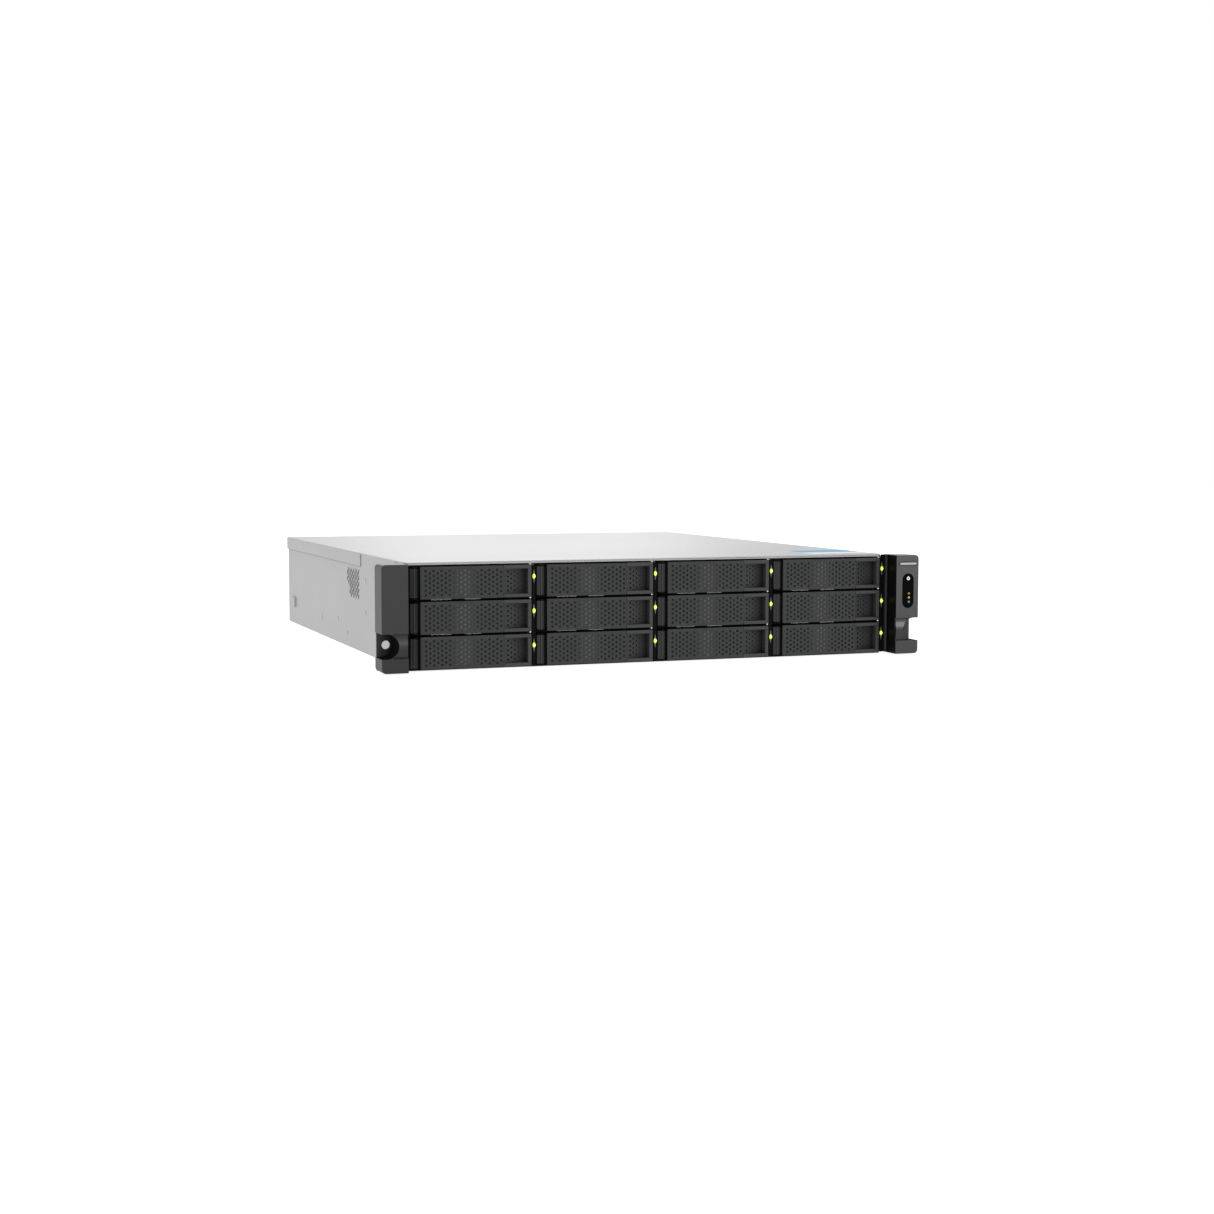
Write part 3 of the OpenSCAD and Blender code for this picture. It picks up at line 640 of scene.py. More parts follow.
def lever_meshes():
    out = {}
    # perforated skin
    holes = []
    for k in range(20):
        u = 14.9 + 3.34 * k
        for j in range(6 - k % 2):
            z = 3.4 + 3.9 * j + (1.95 if k % 2 else 0)
            holes.append(circle(u, z, 1.06, 14))
    me = plate("lever_skin", rrect(PU, SEAM - 0.15, 0.0, FH, 0.5, 3), holes, 0.6)
    map_verts(me, lambda a, b, c: (a, LP + 0.6 - c, b))
    me.materials.append(M["lever"])
    out["skin"] = finish_mesh(me)
    # back ring and neck behind the skin
    b = MB()
    b.box(PU + 0.2, SEAM + 0.4, LP + 0.65, LP + 2.2, 0.1, 0.3)
    b.box(PU + 0.2, SEAM + 0.4, LP + 0.65, LP + 2.2, FH - 0.3, FH - 0.1)
    b.box(PU + 0.2, SEAM + 0.4, LP + 1.7, LP + 2.2, 0.3, 1.7)
    b.box(PU + 0.2, SEAM + 0.4, LP + 1.7, LP + 2.2, FH - 1.7, FH - 0.3)
    b.box(PU + 0.2, PU + 1.9, LP + 1.7, LP + 2.2, 1.7, FH - 1.7)
    b.mat(1)
    # neck in black: painted shade in the gap between the barrel and the skin
    b.box(HX + 2.2, PU + 1.6, -3.1, -1.3, 1.6, FH - 1.6)
    out["ring"] = finish_mesh(b.mesh("lever_ring", ["lever", "black"]))
    # backing sheet close behind the skin, bowed forward in the middle, painted dark at both ends and light in the
    # middle as painted shade and painted light seen through the holes, and a black sheet behind the scoop as painted
    # shade in its holes
    b = MB()
    n = 40
    us = [PU + 0.3 + (SEAM - 0.2 - PU) * k / n for k in range(n + 1)]
    def by(u):
        return LP + 0.66 + 0.5 * min(1.0, abs(u - 47.6) / 14.0) ** 2
    prof = [(u, by(u)) for u in us] + [(u, by(u) + 0.5) for u in reversed(us)]
    b.prism(prof, 0.3, FH - 0.3, "z")
    out["rib"] = finish_mesh(b.mesh("lever_baffle", ["baffle"]), 60)
    # black sheet behind the scoop's holes: painted shade
    b = MB()
    us = [SEAM + 0.4 + (101.7 - SEAM - 0.4) * k / 24 for k in range(25)]
    prof = [(u, scoop_y(max(u, SEAM + 0.8)) + 0.95) for u in us] + [(u, scoop_y(max(u, SEAM + 0.8)) + 1.3) for u in reversed(us)]
    b.prism(prof, 2.4, FH - 2.4, "z")
    out["liner"] = finish_mesh(b.mesh("scoop_liner", ["black"]), 60)
    # scoop frame: top, bottom and right bars
    b = MB()
    t = 2.9
    seam = SEAM + 0.15
    b.box(seam, LE, LP, LP + 2.6, 0.0, t)
    b.box(seam, LE, LP, LP + 2.6, FH - t, FH)
    b.box(101.7, LE, LP, 1.9, t, FH - t)
    b.box(88.0, LE, LP + 2.6, 1.9, 0.1, t - 0.6)
    b.box(88.0, LE, LP + 2.6, 1.9, FH - t + 0.6, FH - 0.1)
    out["frame"] = finish_mesh(b.mesh("lever_frame", ["bar"]))
    # scoop floor: curved sheet with fading perforation
    holes = []
    for k in range(5):
        u = 85.0 + 3.34 * k
        for j in range(5 - k % 2):
            z = 5.35 + 3.9 * j + (1.95 if k % 2 else 0)
            holes.append(circle(u, z, 0.95 - 0.13 * k, 8))
    me = plate("scoop", [(seam, t - 0.05), (101.8, t - 0.05), (101.8, FH - t + 0.05), (seam, FH - t + 0.05)], holes, 0.9)
    bm = bmesh.new()
    bm.from_mesh(me)
    for k in range(1, 22):
        g = bm.verts[:] + bm.edges[:] + bm.faces[:]
        bmesh.ops.bisect_plane(bm, geom=g, plane_co=(seam + 20.8 * k / 22, 0, 0), plane_no=(1, 0, 0))
    bm.to_mesh(me)
    bm.free()
    map_verts(me, lambda a, b_, c: (a, scoop_y(max(a, SEAM + 0.8)) + 0.9 - c, b_))
    me.materials.append(M["recess"])
    out["scoop"] = finish_mesh(me, 50)
    # top and bottom cheeks that close the scoop behind the bars
    b = MB()
    top = [(seam, LP + 0.4)] + [(101.8, LP + 0.4)] + [(82.0 + 19.8 * k / 14, scoop_y(82.0 + 19.8 * k / 14) + 0.5) for k in range(14, -1, -1)]
    b.prism(top, t - 0.7, t, "z")
    b.prism(top, FH - t, FH - t + 0.7, "z")
    out["cheek"] = finish_mesh(b.mesh("scoop_cheek", ["recess"]))
    # fluted barrel, its tone across u painted as highlight and shade
    prof = []
    n = 96
    for k in range(n):
        a = 360.0 * k / n
        rad = BR
        for c0, w, dpt in ((-128, 7, 0.55), (-104, 6, 0.5), (-82, 6, 0.45), (-60, 6, 0.4), (52, 6, 0.4), (76, 6, 0.4), (100, 6, 0.4), (126, 6, 0.4)):
            d = abs((a - c0 + 180) % 360 - 180)
            if d < w:
                rad = min(rad, BR - dpt * (0.5 + 0.5 * math.cos(math.pi * d / w)))
        prof.append((HX + rad * math.cos(math.radians(a)), HY + rad * math.sin(math.radians(a))))
    b = MB()
    b.prism(prof, 1.35, FH - 1.35, "z")
    out["barrel"] = finish_mesh(b.mesh("barrel", ["barrel"]), 28)
    return out


LEV = lever_meshes()

# ---------------------------------------------------------------- trays and drives
RU0, RU1 = 1.35, 1.35 + 1.6 + 101.6 + 0.1
PY = 5.6


def tray_meshes():
    out = {}
    # steel channel: floor with windows, side rails with screw holes and slots
    wins = [rrect(14 + 30 * k, 36 + 30 * k, 22 + 44 * j, 56 + 44 * j, 4) for k in range(3) for j in range(3) if 56 + 44 * j < 146]
    me = plate("tray_floor", [(RU0, PY + 0.2), (RU1, PY + 0.2), (RU1, PY + 142), (RU0, PY + 142)], wins, 0.6)
    me.materials.append(M["inner"])
    for v in me.vertices:
        v.co.z += 0.2
    out["floor"] = finish_mesh(me)
    for side, u0 in (("l", RU0), ("r", RU1 - 0.8)):
        hs = [circle(PY + 28 + 44 * k, 6.6, 2.0, 14) for k in range(3)]
        hs += [rrect(PY + 10 + 44 * k, PY + 20 + 44 * k, 4.5, 8.5, 1.9) for k in range(3)]
        me = plate("tray_rail", [(PY, 0.25), (PY + 142, 0.25), (PY + 142, 11.0), (PY + 138, 14.2), (PY, 14.2)], hs, 0.8)
        map_verts(me, lambda a, b, c, u0=u0: (u0 + c, a, b))
        me.materials.append(M["inner"])
        out["rail_" + side] = finish_mesh(me)
    # black front plate with slots, lugs and pin
    slots = [rrect(16 + 12 * k, 25 + 12 * k, 5, 21, 1.5, 3) for k in range(7)]
    me = plate("tray_front", rrect(RU0, RU1, 0, FH, 0.6, 3), slots, 1.6)
    map_verts(me, lambda a, b, c: (a, PY + 1.6 - c, b))
    me.materials.append(M["black"])
    out["front"] = finish_mesh(me)
    b = MB()
    for z in (0.0, FH - 1.1):
        pts = [(HX + BR * math.cos(math.radians(a)), HY + BR * math.sin(math.radians(a))) for a in range(180, 361, 12)]
        pts += [(HX + BR, PY + 0.1), (HX - BR, PY + 0.1)]
        b.prism(pts, z, z + 1.1, "z")
    b.cyl(HX, HY, 1.0, 0.2, FH - 0.2, "z", 20)
    out["lugs"] = finish_mesh(b.mesh("tray_lugs", ["black"]))
    return out


def drive_meshes():
    out = {}
    x0, x1 = RU0 + 0.85, RU0 + 0.85 + 101.6
    b = MB()
    # cast body with a stepped top, rounded ears and a recess for the board
    b.prism([(x0, 9.0), (x1, 9.0), (x1, 156.0), (x1 - 31.6, 156.0), (x1 - 31.6, 151.2), (x0 + 32, 151.2), (x0 + 32, 156.0), (x0, 156.0)], 0.8, 21.5, "z")
    b.prism(rrect(x0 + 0.6, x1 - 0.6, 9.6, 155.4, 4), 21.5, 24.6, "z")
    out["body"] = finish_mesh(b.mesh("drive_body", ["drive"]))
    b = MB()
    b.prism(rrect(x0 + 3, x1 - 3, 13, 146, 9), 24.6, 25.7, "z")
    b.lathe((x0 + x1) / 2, 58, [(25.7, 36), (26.1, 34.8), (26.1, 12), (25.9, 10)], "z", 48)
    for u, y in ((x0 + 6, 16), (x1 - 6, 16), (x0 + 6, 80), (x1 - 6, 80), (x0 + 6, 143), (x1 - 6, 143)):
        b.lathe(u, y, [(25.7, 2.4), (26.3, 2.1), (26.3, 0.9), (25.9, 0.8)], "z", 16)
    out["lid"] = finish_mesh(b.mesh("drive_lid", ["drive_lid"]))
    b = MB()
    b.prism(rrect(x0 + 22, x1 - 22, 100, 140, 2), 25.7, 25.85, "z")
    out["label"] = finish_mesh(b.mesh("drive_label", ["paper"]))
    return out


TRAY = tray_meshes()
DRV = drive_meshes()

for i, (c, r) in enumerate(BAYS, 1):
    n = f"{i:02d}"
    sh = (col_x(c), 0, front_z(r))
    put(f"lever_{n}_skin", LEV["skin"], f"lever_{n}", shift=sh, replace=(f"tray_lever_{n}",), slot="lever_plastic", bevel=0.22, seg=2, bev_angle=50)
    put(f"lever_{n}_ring", LEV["ring"], f"lever_{n}", shift=sh, slot="lever_plastic", bevel=0.2, seg=1)
    put(f"lever_{n}_baffle", LEV["rib"], f"lever_{n}", shift=sh, slot="lever_plastic")
    put(f"lever_{n}_frame", LEV["frame"], f"lever_{n}", shift=sh, slot="lever_plastic", bevel=0.35, seg=2)
    put(f"lever_{n}_liner", LEV["liner"], f"lever_{n}", shift=sh, slot="lever_plastic")
    put(f"lever_{n}_scoop", LEV["scoop"], f"lever_{n}", shift=sh, slot="lever_plastic")
    put(f"lever_{n}_cheek", LEV["cheek"], f"lever_{n}", shift=sh, slot="lever_plastic")
    put(f"lever_{n}_barrel", LEV["barrel"], f"lever_{n}", shift=sh, slot="lever_plastic")
    put(f"tray_{n}_floor", TRAY["floor"], f"tray_{n}", shift=sh, replace=(f"drive_tray_{n}",), slot="bare_steel")
    put(f"tray_{n}_rail_left", TRAY["rail_l"], f"tray_{n}", shift=sh, slot="bare_steel")
    put(f"tray_{n}_rail_right", TRAY["rail_r"], f"tray_{n}", shift=sh, slot="bare_steel")
    put(f"tray_{n}_front", TRAY["front"], f"tray_{n}", shift=sh, slot="black_plastic")
    put(f"tray_{n}_lugs", TRAY["lugs"], f"tray_{n}", shift=sh, slot="black_plastic", bevel=0.15, seg=1)
    put(f"drive_{n}_body", DRV["body"], f"tray_{n}", shift=sh, replace=(f"hard_drive_{n}",), slot="drive_shell", bevel=0.5, seg=2)
    put(f"drive_{n}_lid", DRV["lid"], f"tray_{n}", shift=sh, slot="drive_shell", bevel=0.25, seg=1)
    put(f"drive_{n}_label", DRV["label"], f"tray_{n}", shift=sh, slot="drive_shell")

# ---------------------------------------------------------------- light pipe posts
b = MB()
for c in range(4):
    x = col_x(c) + 106.8
    b.box(x - 1.45, x + 1.45, -4.6, -0.15, 1.4, 84.6)
make("light_pipe_posts", b, ["black"], "root", replace=("drive_light_pipes",), slot="light_pipe", bevel=0.3, seg=2)
b = MB()
g = MB()
hot = MB()
for c in range(4):
    x = col_x(c) + 106.8
    for r in range(3):
        z = front_z(r) + FH / 2 + 3.8
        # pointed light guide
        b.prism([(x, z - 6.0), (x + 0.55, z - 3.2), (x + 0.8, z), (x + 0.55, z + 3.2), (x, z + 6.0), (x - 0.55, z + 3.2), (x - 0.8, z), (x - 0.55, z - 3.2)], -5.0, -4.5, "y")
        for k in range(1):
            n = 28
            prof = [(-4.75, 1.0), (-5.1, 0.98), (-5.5, 0.82), (-5.75, 0.55), (-5.85, 0.2)]
            vs, fs = [], []
            for t, q in prof:
                for a in range(n):
                    al = 2 * math.pi * a / n
                    ca, sa = math.cos(al), math.sin(al)
                    vs.append((x + 1.18 * q * ca, t, z + 2.05 * q * sa))
            for j in range(len(prof) - 1):
                for a in range(n):
                    fs.append((j * n + a, j * n + (a + 1) % n, (j + 1) * n + (a + 1) % n, (j + 1) * n + a))
            fs.append(tuple(range(n)))
            fs.append(tuple((len(prof) - 1) * n + a for a in range(n)))
            g.add(vs, fs)
        hot.lathe(x + 0.45, z, [(-5.72, 0.62), (-5.9, 0.55), (-5.97, 0.3)], "y", 20)
make("led_cores", hot, ["led_hot"], "root", slot="light_pipe")
make("light_guides", b, ["pipe"], "root", slot="light_pipe", bevel=0.1, seg=1)
make("drive_leds", g, ["led"], "root", slot="light_pipe")

# black strips in the gaps between the rows, painted shade that leaves only short lengths of the cage's bright edge in
# view, and latch hooks
b = MB()
h = MB()
for r in (1, 2):
    z = base_z(r) - 0.9
    for c in range(4):
        x = col_x(c)
        for u0, u1 in ((0.6, 20.6), (38.0, 48.6), (62.8, 103.4)):
            b.box(x + u0, x + u1, -0.5, 0.45, z - 0.55, z + 0.55)
        b.box(x + 105.15, x + 107.1, -0.5, 0.45, z - 0.55, z + 0.55)
        h.prism([(x + 103.5, -3.4), (x + 104.6, -3.9), (x + 105.1, -3.3), (x + 105.1, 0.45), (x + 103.5, 0.45)], z - 0.55, z + 0.65, "z")
for c in range(4):
    x = col_x(c)
    h.prism([(x + 103.5, -3.4), (x + 104.6, -3.9), (x + 105.1, -3.3), (x + 105.1, 0.2), (x + 103.5, 0.2)], 84.72, 85.62, "z")
make("row_gap_painted_shade", b, ["black"], "root", slot="black_plastic", bevel=0.1, seg=1)
make("latch_hooks", h, ["hook"], "root", slot="bare_steel", bevel=0.15, seg=1)

# ---------------------------------------------------------------- ears
HP, EW, ED = 241.3, 21.9, 22.6


def ear_profile():
    """Outline in X and Z with rounded outer corners."""
    x0, x1, r = HP - EW, HP, 3.5
    pts = [(x0, 1.0)]
    pts += [(x1 - r + r * math.sin(math.radians(a)), 1 + r - r * math.cos(math.radians(a))) for a in range(0, 91, 10)]
    pts += [(x1 - r + r * math.cos(math.radians(a)), 87.7 - r + r * math.sin(math.radians(a))) for a in range(0, 91, 10)]
    pts += [(x0, 87.7)]
    return pts


def pocket_profile(grow=0.0):
    zc, pr, pc = 22.5, 10.0 + grow, HP - 4.3
    pts = [(HP + 3, zc - pr)]
    pts += [(pc - pr * math.sin(math.radians(a)), zc - pr * math.cos(math.radians(a))) for a in range(0, 181, 6)]
    pts += [(HP + 3, zc + pr)]
    return pts


def ear(name, side, mat, node):
    b = MB()
    b.prism(ear_profile(), -ED, -0.1, "y")
    ob = bpy.data.objects.new(name, finish_mesh(b.mesh(name, [mat, "ear_in", "ear_top"])))
    LINK(ob)
    c = MB()
    c.box(HP - EW - 1, HP - EW + 12.1, -ED - 1, -ED + 1.6, 12.5, 32.5)
    boolean(ob, c)
    c = MB()
    bow = [(-ED + 2.6, 12.4)]
    for k in range(21):
        z = 12.4 + 20.2 * k / 20
        bow.append((-ED + 32.1 - math.sqrt(32.0 ** 2 - (z - 22.5) ** 2), z))
    bow.append((-ED + 2.6, 32.6))
    c.prism(bow, HP - EW + 0.4, HP - EW + 12.2, "x")
    boolean(ob, c, "UNION")
    c = MB()
    c.prism(pocket_profile(), -ED - 2, 2.0 if side < 0 else -7.1, "y")
    boolean(ob, c)
    if side > 0:
        c = MB()
        c.cyl(232.55, 22.0, 3.8, -ED, 2.0, "y", 40)
        boolean(ob, c)
        c = MB()
        pts = [(231 + 5.65 * math.cos(math.radians(a)), 66.0 + 5.65 * math.sin(math.radians(a))) for a in range(0, 181, 9)]
        pts += [(231 + 5.65 * math.cos(math.radians(a)), 46.7 + 5.65 * math.sin(math.radians(a))) for a in range(180, 361, 9)]
        c.prism(pts, -ED - 1, -ED + 1.2, "y")
        boolean(ob, c)
    me = ob.data
    bpy.data.objects.remove(ob)
    while len(me.materials) < 5:
        me.materials.append(M["ear_top"])
    for k, key in enumerate((mat, "ear_in", "ear_top", "pocket", "web")):
        me.materials[k] = M[key]
    for p in me.polygons:
        c_ = p.center
        p.material_index = 0
        # inner side faces: painted shade
        if p.normal.x < -0.9 and c_.x < (HP - EW + 1.0) * MM:
            p.material_index = 1
        # top faces: painted highlight
        elif p.normal.z > 0.9 and c_.z > 87 * MM:
            p.material_index = 2
        elif c_.x > (HP - EW + 6) * MM and 12.4 * MM < c_.z < 32.6 * MM and c_.x < (HP - 0.1) * MM:
            d_ = math.hypot(min(c_.x / MM - (HP - 4.3), 0), c_.z / MM - 22.5)
            if p.normal.y < -0.9 and c_.y > -8 * MM:
                p.material_index = 4
            # pocket walls: painted shade
            elif d_ > 9.7 and abs(p.normal.y) < 0.3 and c_.y > (-ED + 2.0) * MM:
                p.material_index = 3
    if side < 0:
        me.transform(Matrix.Diagonal((-1, 1, 1, 1)))
        bm = bmesh.new()
        bm.from_mesh(me)
        bmesh.ops.recalc_face_normals(bm, faces=bm.faces)
        bm.to_mesh(me)
        bm.free()
    me.shade_smooth()
    me.set_sharp_from_angle(angle=math.radians(30))
    return put(name, me, "root", bevel=0.7, seg=3, replace=(node,), slot="ear_plastic", bev_angle=32)


ear("ear_cap_left", -1, "ear", "left_ear")
ear("ear_cap_right", 1, "ear_r", "right_ear")

# blank badge plate, lens, button and status lights
b = MB()
pts = [(231 + 5.5 * math.cos(math.radians(a)), 66.0 + 5.5 * math.sin(math.radians(a))) for a in range(0, 181, 6)]
pts += [(231 + 5.5 * math.cos(math.radians(a)), 46.7 + 5.5 * math.sin(math.radians(a))) for a in range(180, 361, 6)]
b.prism(pts, -ED - 0.12, -ED + 1.15, "y")
make("status_window", b, ["gloss"], "root", replace=("status_lens",), slot="gloss_lens", bevel=0.3, seg=3)
b = MB()
b.lathe(231, 67.2, [(-ED + 4, 2.2), (-ED - 0.15, 2.2), (-ED - 0.32, 2.02), (-ED - 0.35, 1.6)], "y", 40)
b.lathe(231, 67.2, [(-ED + 3.2, 3.1), (-ED + 4.4, 3.1)], "y", 32)
make("power_key", b, ["gloss"], "power_button", replace=("power_button",), slot="button_white")
# a plain ring and bar as the power mark
b = MB()
n = 26
ring_o = [(231 + 1.45 * math.cos(math.radians(125 + 290 * k / n)), 67.2 + 1.45 * math.sin(math.radians(125 + 290 * k / n))) for k in range(n + 1)]
ring_i = [(231 + 0.75 * math.cos(math.radians(125 + 290 * k / n)), 67.2 + 0.75 * math.sin(math.radians(125 + 290 * k / n))) for k in range(n, -1, -1)]
b.prism(ring_o + ring_i, -ED - 0.42, -ED - 0.33, "y")
b.box(230.62, 231.38, -ED - 0.42, -ED - 0.33, 67.7, 69.1)
make("power_mark", b, ["button"], "power_button", slot="button_white")
for nm, z, mt in (("yellow", 54.0, "led_y"), ("orange", 50.4, "led_o"), ("blue", 46.6, "led_b")):
    b = MB()
    b.lathe(231.9, z, [(-ED + 0.2, 0.95), (-ED - 0.16, 0.95), (-ED - 0.22, 0.6)], "y", 20)
    make("status_light_" + nm, b, [mt], "root", slot="gloss_lens")
b = MB()
b.prism(rrect(221.6, 240.0, 77.9, 82.4, 2.0, 5), -ED - 0.25, -ED + 0.4, "y")
b.mat(1)
b.prism(rrect(223.0, 239.0, 79.3, 81.0, 0.8, 4), -ED - 0.32, -ED - 0.2, "y")
make("blank_badge", b, ["badge", "badge_bar"], "root", slot="ear_plastic", bevel=0.06, seg=2)

# inner walls of the ears beside the trays, near black as painted shade in the gap, each with a rounded rib
b = MB()
for q in (1, -1):
    xa, xb = sorted((q * (HALF + 1.0), q * (HP - EW - 0.05)))
    b.mat(0)
    b.box(xa, xb, -6.2, -0.2, 1.5, 87.4)
    b.box(xa, xb, 0.0, 9.5, 1.5, 85.4)
    b.mat(1)
    b.mat(0)
    xd, xe = sorted((q * (HALF + 0.1), q * (HALF + 1.2)))
    b.box(xd, xe, -5.0, -0.2, 85.0, 87.4)
    b.mat(1)
    xc = q * (HALF + 2.6)
    b.prism([(xc + 1.15 * math.cos(math.radians(t)), -6.2 + 1.8 * math.sin(math.radians(t))) for t in range(180, 361, 12)], 1.6, 87.3, "z")
make("ear_fillers", b, ["pocket", "rib"], "root", slot="ear_plastic", bevel=0.25, seg=2)

# ---------------------------------------------------------------- top panels
b = MB()
# front panel: a plate whose front edge is hemmed down
prof = [(160.2, 88.0), (1.1, 88.0)]
prof += [(1.1 - 0.8 * math.sin(math.radians(a)), 87.2 + 0.8 * math.cos(math.radians(a))) for a in range(15, 91, 15)]
prof += [(0.3, 87.05), (0.75, 86.95), (0.75, 86.75), (0.35, 86.65), (0.35, 85.75), (1.35, 85.75), (1.35, 87.0), (160.2, 87.0)]
b.prism(prof, -HALF, HALF, "x")
sheet = b.mesh("front_top_sheet", ["lid", "hem", "lip"])
# front faces below the top and the end faces take the darker copies: painted shade
for p in sheet.polygons:
    if p.normal.z < 0.9 and p.center.y < 1.34:
        p.material_index = 1 if p.center.z > 86.7 else 2
    elif abs(p.normal.x) > 0.9:
        p.material_index = 1
put("front_top_sheet", finish_mesh(sheet), "root", replace=("front_top_panel",), slot="zinc_steel", bevel=0.1, seg=1)
b = MB()
CW = HALF + 1.1
prof = [(-CW, 76.0), (-CW, 86.9)]
prof += [(-CW + 1.1 - 1.1 * math.cos(math.radians(a)), 86.9 + 1.1 * math.sin(math.radians(a))) for a in range(15, 91, 15)]
prof += [(-x, z) for x, z in reversed(prof)]
inner = [(CW - 0.8, 76.0), (CW - 0.8, 87.1), (-CW + 0.8, 87.1), (-CW + 0.8, 76.0)]
b.prism(prof + inner, 160.6, CASE_D + 2, "y")
b.box(-CW + 0.9, CW - 0.9, CASE_D + 1.2, CASE_D + 2, 85.2, 87.1)
cover_me = b.mesh("rear_cover_sheet", ["lid", "steel"])
# side faces of the bent cover sheet take the darker wall steel and its top the lid colour: the top is painted lighter
for p in cover_me.polygons:
    if abs(p.normal.x) > 0.5:
        p.material_index = 1
put("rear_cover_sheet", finish_mesh(cover_me), "cover", replace=("top_cover",), slot="zinc_steel", bevel=0.18, seg=2)

# label on the lid: a plain white sheet with a plain blue band
b = MB()
b.prism(rrect(156.6, 215.0, 16.0, 68.6, 1.2), 88.0, 88.12, "z")
make("lid_label", b, ["paper"], "root", slot="zinc_steel")
b = MB()
b.prism(rrect(157.4, 214.4, 39.0, 67.8, 0.8), 88.12, 88.16, "z")
make("lid_label_band", b, ["blue"], "root", slot="zinc_steel")

# pressed slots under the top edge of the side walls, drawn as flat patches painted darker than the wall: painted shade
# inside the slots
b = MB()
for s in (-1, 1):
    x = s * HALF
    for y0, y1, z0, z1 in ((25, 38, 85.7, 86.7), (2.2, 4.2, 86.0, 86.8)):
        b.prism(rrect(y0, y1, z0, z1, 0.4, 4), x - s * 0.3, x + s * 0.04, "x")
make("wall_slots", b, ["slot"], "root", slot="zinc_steel")

# ---------------------------------------------------------------- side screws and dimples
b = MB()
d = MB()
for s in (-1, 1):
    for y, z in ((143.8, 63.8), (144.8, 35.8), (217.7, 11.8), (256.8, 21.4), (327.6, 16.9)):
        x = s * HALF
        b.lathe(y, z, [(x - s * 0.4, 2.5), (x + s * 0.25, 2.5), (x + s * 0.5, 1.9), (x + s * 0.5, 1.0), (x + s * 0.1, 0.8)], "x", 24)
    for y, z in ((416, 81.5), (267, 82)):
        x = s * (HALF + 1.1)
        d.lathe(y, z, [(x - s * 0.3, 1.7), (x + s * 0.12, 1.7), (x + s * 0.22, 1.2), (x + s * 0.22, 0.6)], "x", 20)
make("side_screws", b, ["screw"], "root", slot="zinc_steel")
make("cover_rivets", d, ["screw"], "cover", slot="zinc_steel")

# painted shade: dark sheets behind the side vents, and painted shadow lines under the cover's flange and down its front
# edge
b = MB()
for s in (-1, 1):
    xa, xb = sorted((s * (HALF - 2.2), s * (HALF - 1.9)))
    b.box(xa, xb, 166.0, 177.2, 43, 76)
    b.box(xa, xb, 179.2, 222.0, 43, 76)
make("vent_shades", b, ["vent"], "root", slot="zinc_steel")
b = MB()
for s in (-1, 1):
    xa, xb = sorted((s * (HALF - 0.2), s * (HALF + 0.12)))
    b.box(xa, xb, 160.7, CASE_D - 0.2, 75.3, 75.85)
    b.box(xa, xb, 159.6, 160.3, 76.0, 86.8)
make("cover_shadow_lines", b, ["seam"], "root", slot="zinc_steel")

# ---------------------------------------------------------------- rear details
# port shields: nickel plate pieces around and between the sockets
SOCK = [(-185 + 19 * k, 8.5, 16.0, 13.6, 11.8, 8.4, "net") for k in range(4)]
SOCK += [(-108 + 17 * k, z, 14.4, 7.4, 12.6, 5.1, "usb") for k in range(2) for z in (8.5, 15.8)]
SOCK += [(-71, 8.5, 16.6, 7.2, 14.4, 5.0, "video")]
b = MB()
cols = sorted({(x, w) for x, z, w, h, mw, mh, kind in SOCK})
edge = -198.4
for x, w in cols:
    b.box(edge, x - w / 2 - 0.15, 494.25, 494.95, 8.45, 24.35)
    top = max(z + h for x2, z, w2, h, mw, mh, kind in SOCK if x2 == x)
    b.box(x - w / 2 - 0.15, x + w / 2 + 0.15, 494.25, 494.95, top + 0.15, 24.35)
    edge = x + w / 2 + 0.15
b.box(edge, -38.1, 494.25, 494.95, 8.45, 24.35)
make("port_shield", b, ["port"], "root", slot="bare_steel")
b = MB()
for x, z, w, h, mw, mh, kind in SOCK:
    zc = z + h / 2
    # raised rim around the mouth
    for x0, x1, z0, z1 in ((x - w / 2 + 0.3, x - mw / 2 - 0.1, z + 0.3, z + h - 0.3), (x + mw / 2 + 0.1, x + w / 2 - 0.3, z + 0.3, z + h - 0.3),
                           (x - mw / 2 - 0.1, x + mw / 2 + 0.1, z + 0.3, zc - mh / 2 - 0.1), (x - mw / 2 - 0.1, x + mw / 2 + 0.1, zc + mh / 2 + 0.1, z + h - 0.3)):
        b.mat(0).box(x0, x1, 495.55, 495.85, z0, z1)
    d = 9.0 if kind != "net" else 12.0
    b.mat(1).box(x - mw / 2 + 0.05, x + mw / 2 - 0.05, 495.6 - d, 495.7 - d, zc - mh / 2 + 0.05, zc + mh / 2 - 0.05)
    if kind == "net":
        for k in range(8):
            xx = x - 3.6 + 1.02 * k
            b.mat(2).prism([(487.5, zc - 3.6), (494.0, zc - 3.2), (494.0, zc - 2.95), (487.5, zc - 3.3)], xx, xx + 0.45, "x")
        b.mat(3).box(x - 5.2, x - 3.2, 495.5, 495.75, z + h - 2.0, z + h - 1.0)
        b.mat(4).box(x + 3.2, x + 5.2, 495.5, 495.75, z + h - 2.0, z + h - 1.0)
    elif kind == "usb":
        b.mat(5).box(x - 5.6, x + 5.6, 487.0, 494.6, zc + 0.1, zc + 1.5)
        for k in range(4):
            b.mat(2).box(x - 4.3 + 2.5 * k, x - 3.2 + 2.5 * k, 488.0, 494.2, zc - 0.02, zc + 0.1)
    else:
        b.mat(1).box(x - 5.6, x + 5.6, 487.5, 494.2, zc - 0.5, zc + 0.5)
make("port_details", b, ["port", "black", "gold", "led_y", "ok", "usb"], "root", slot="bare_steel")
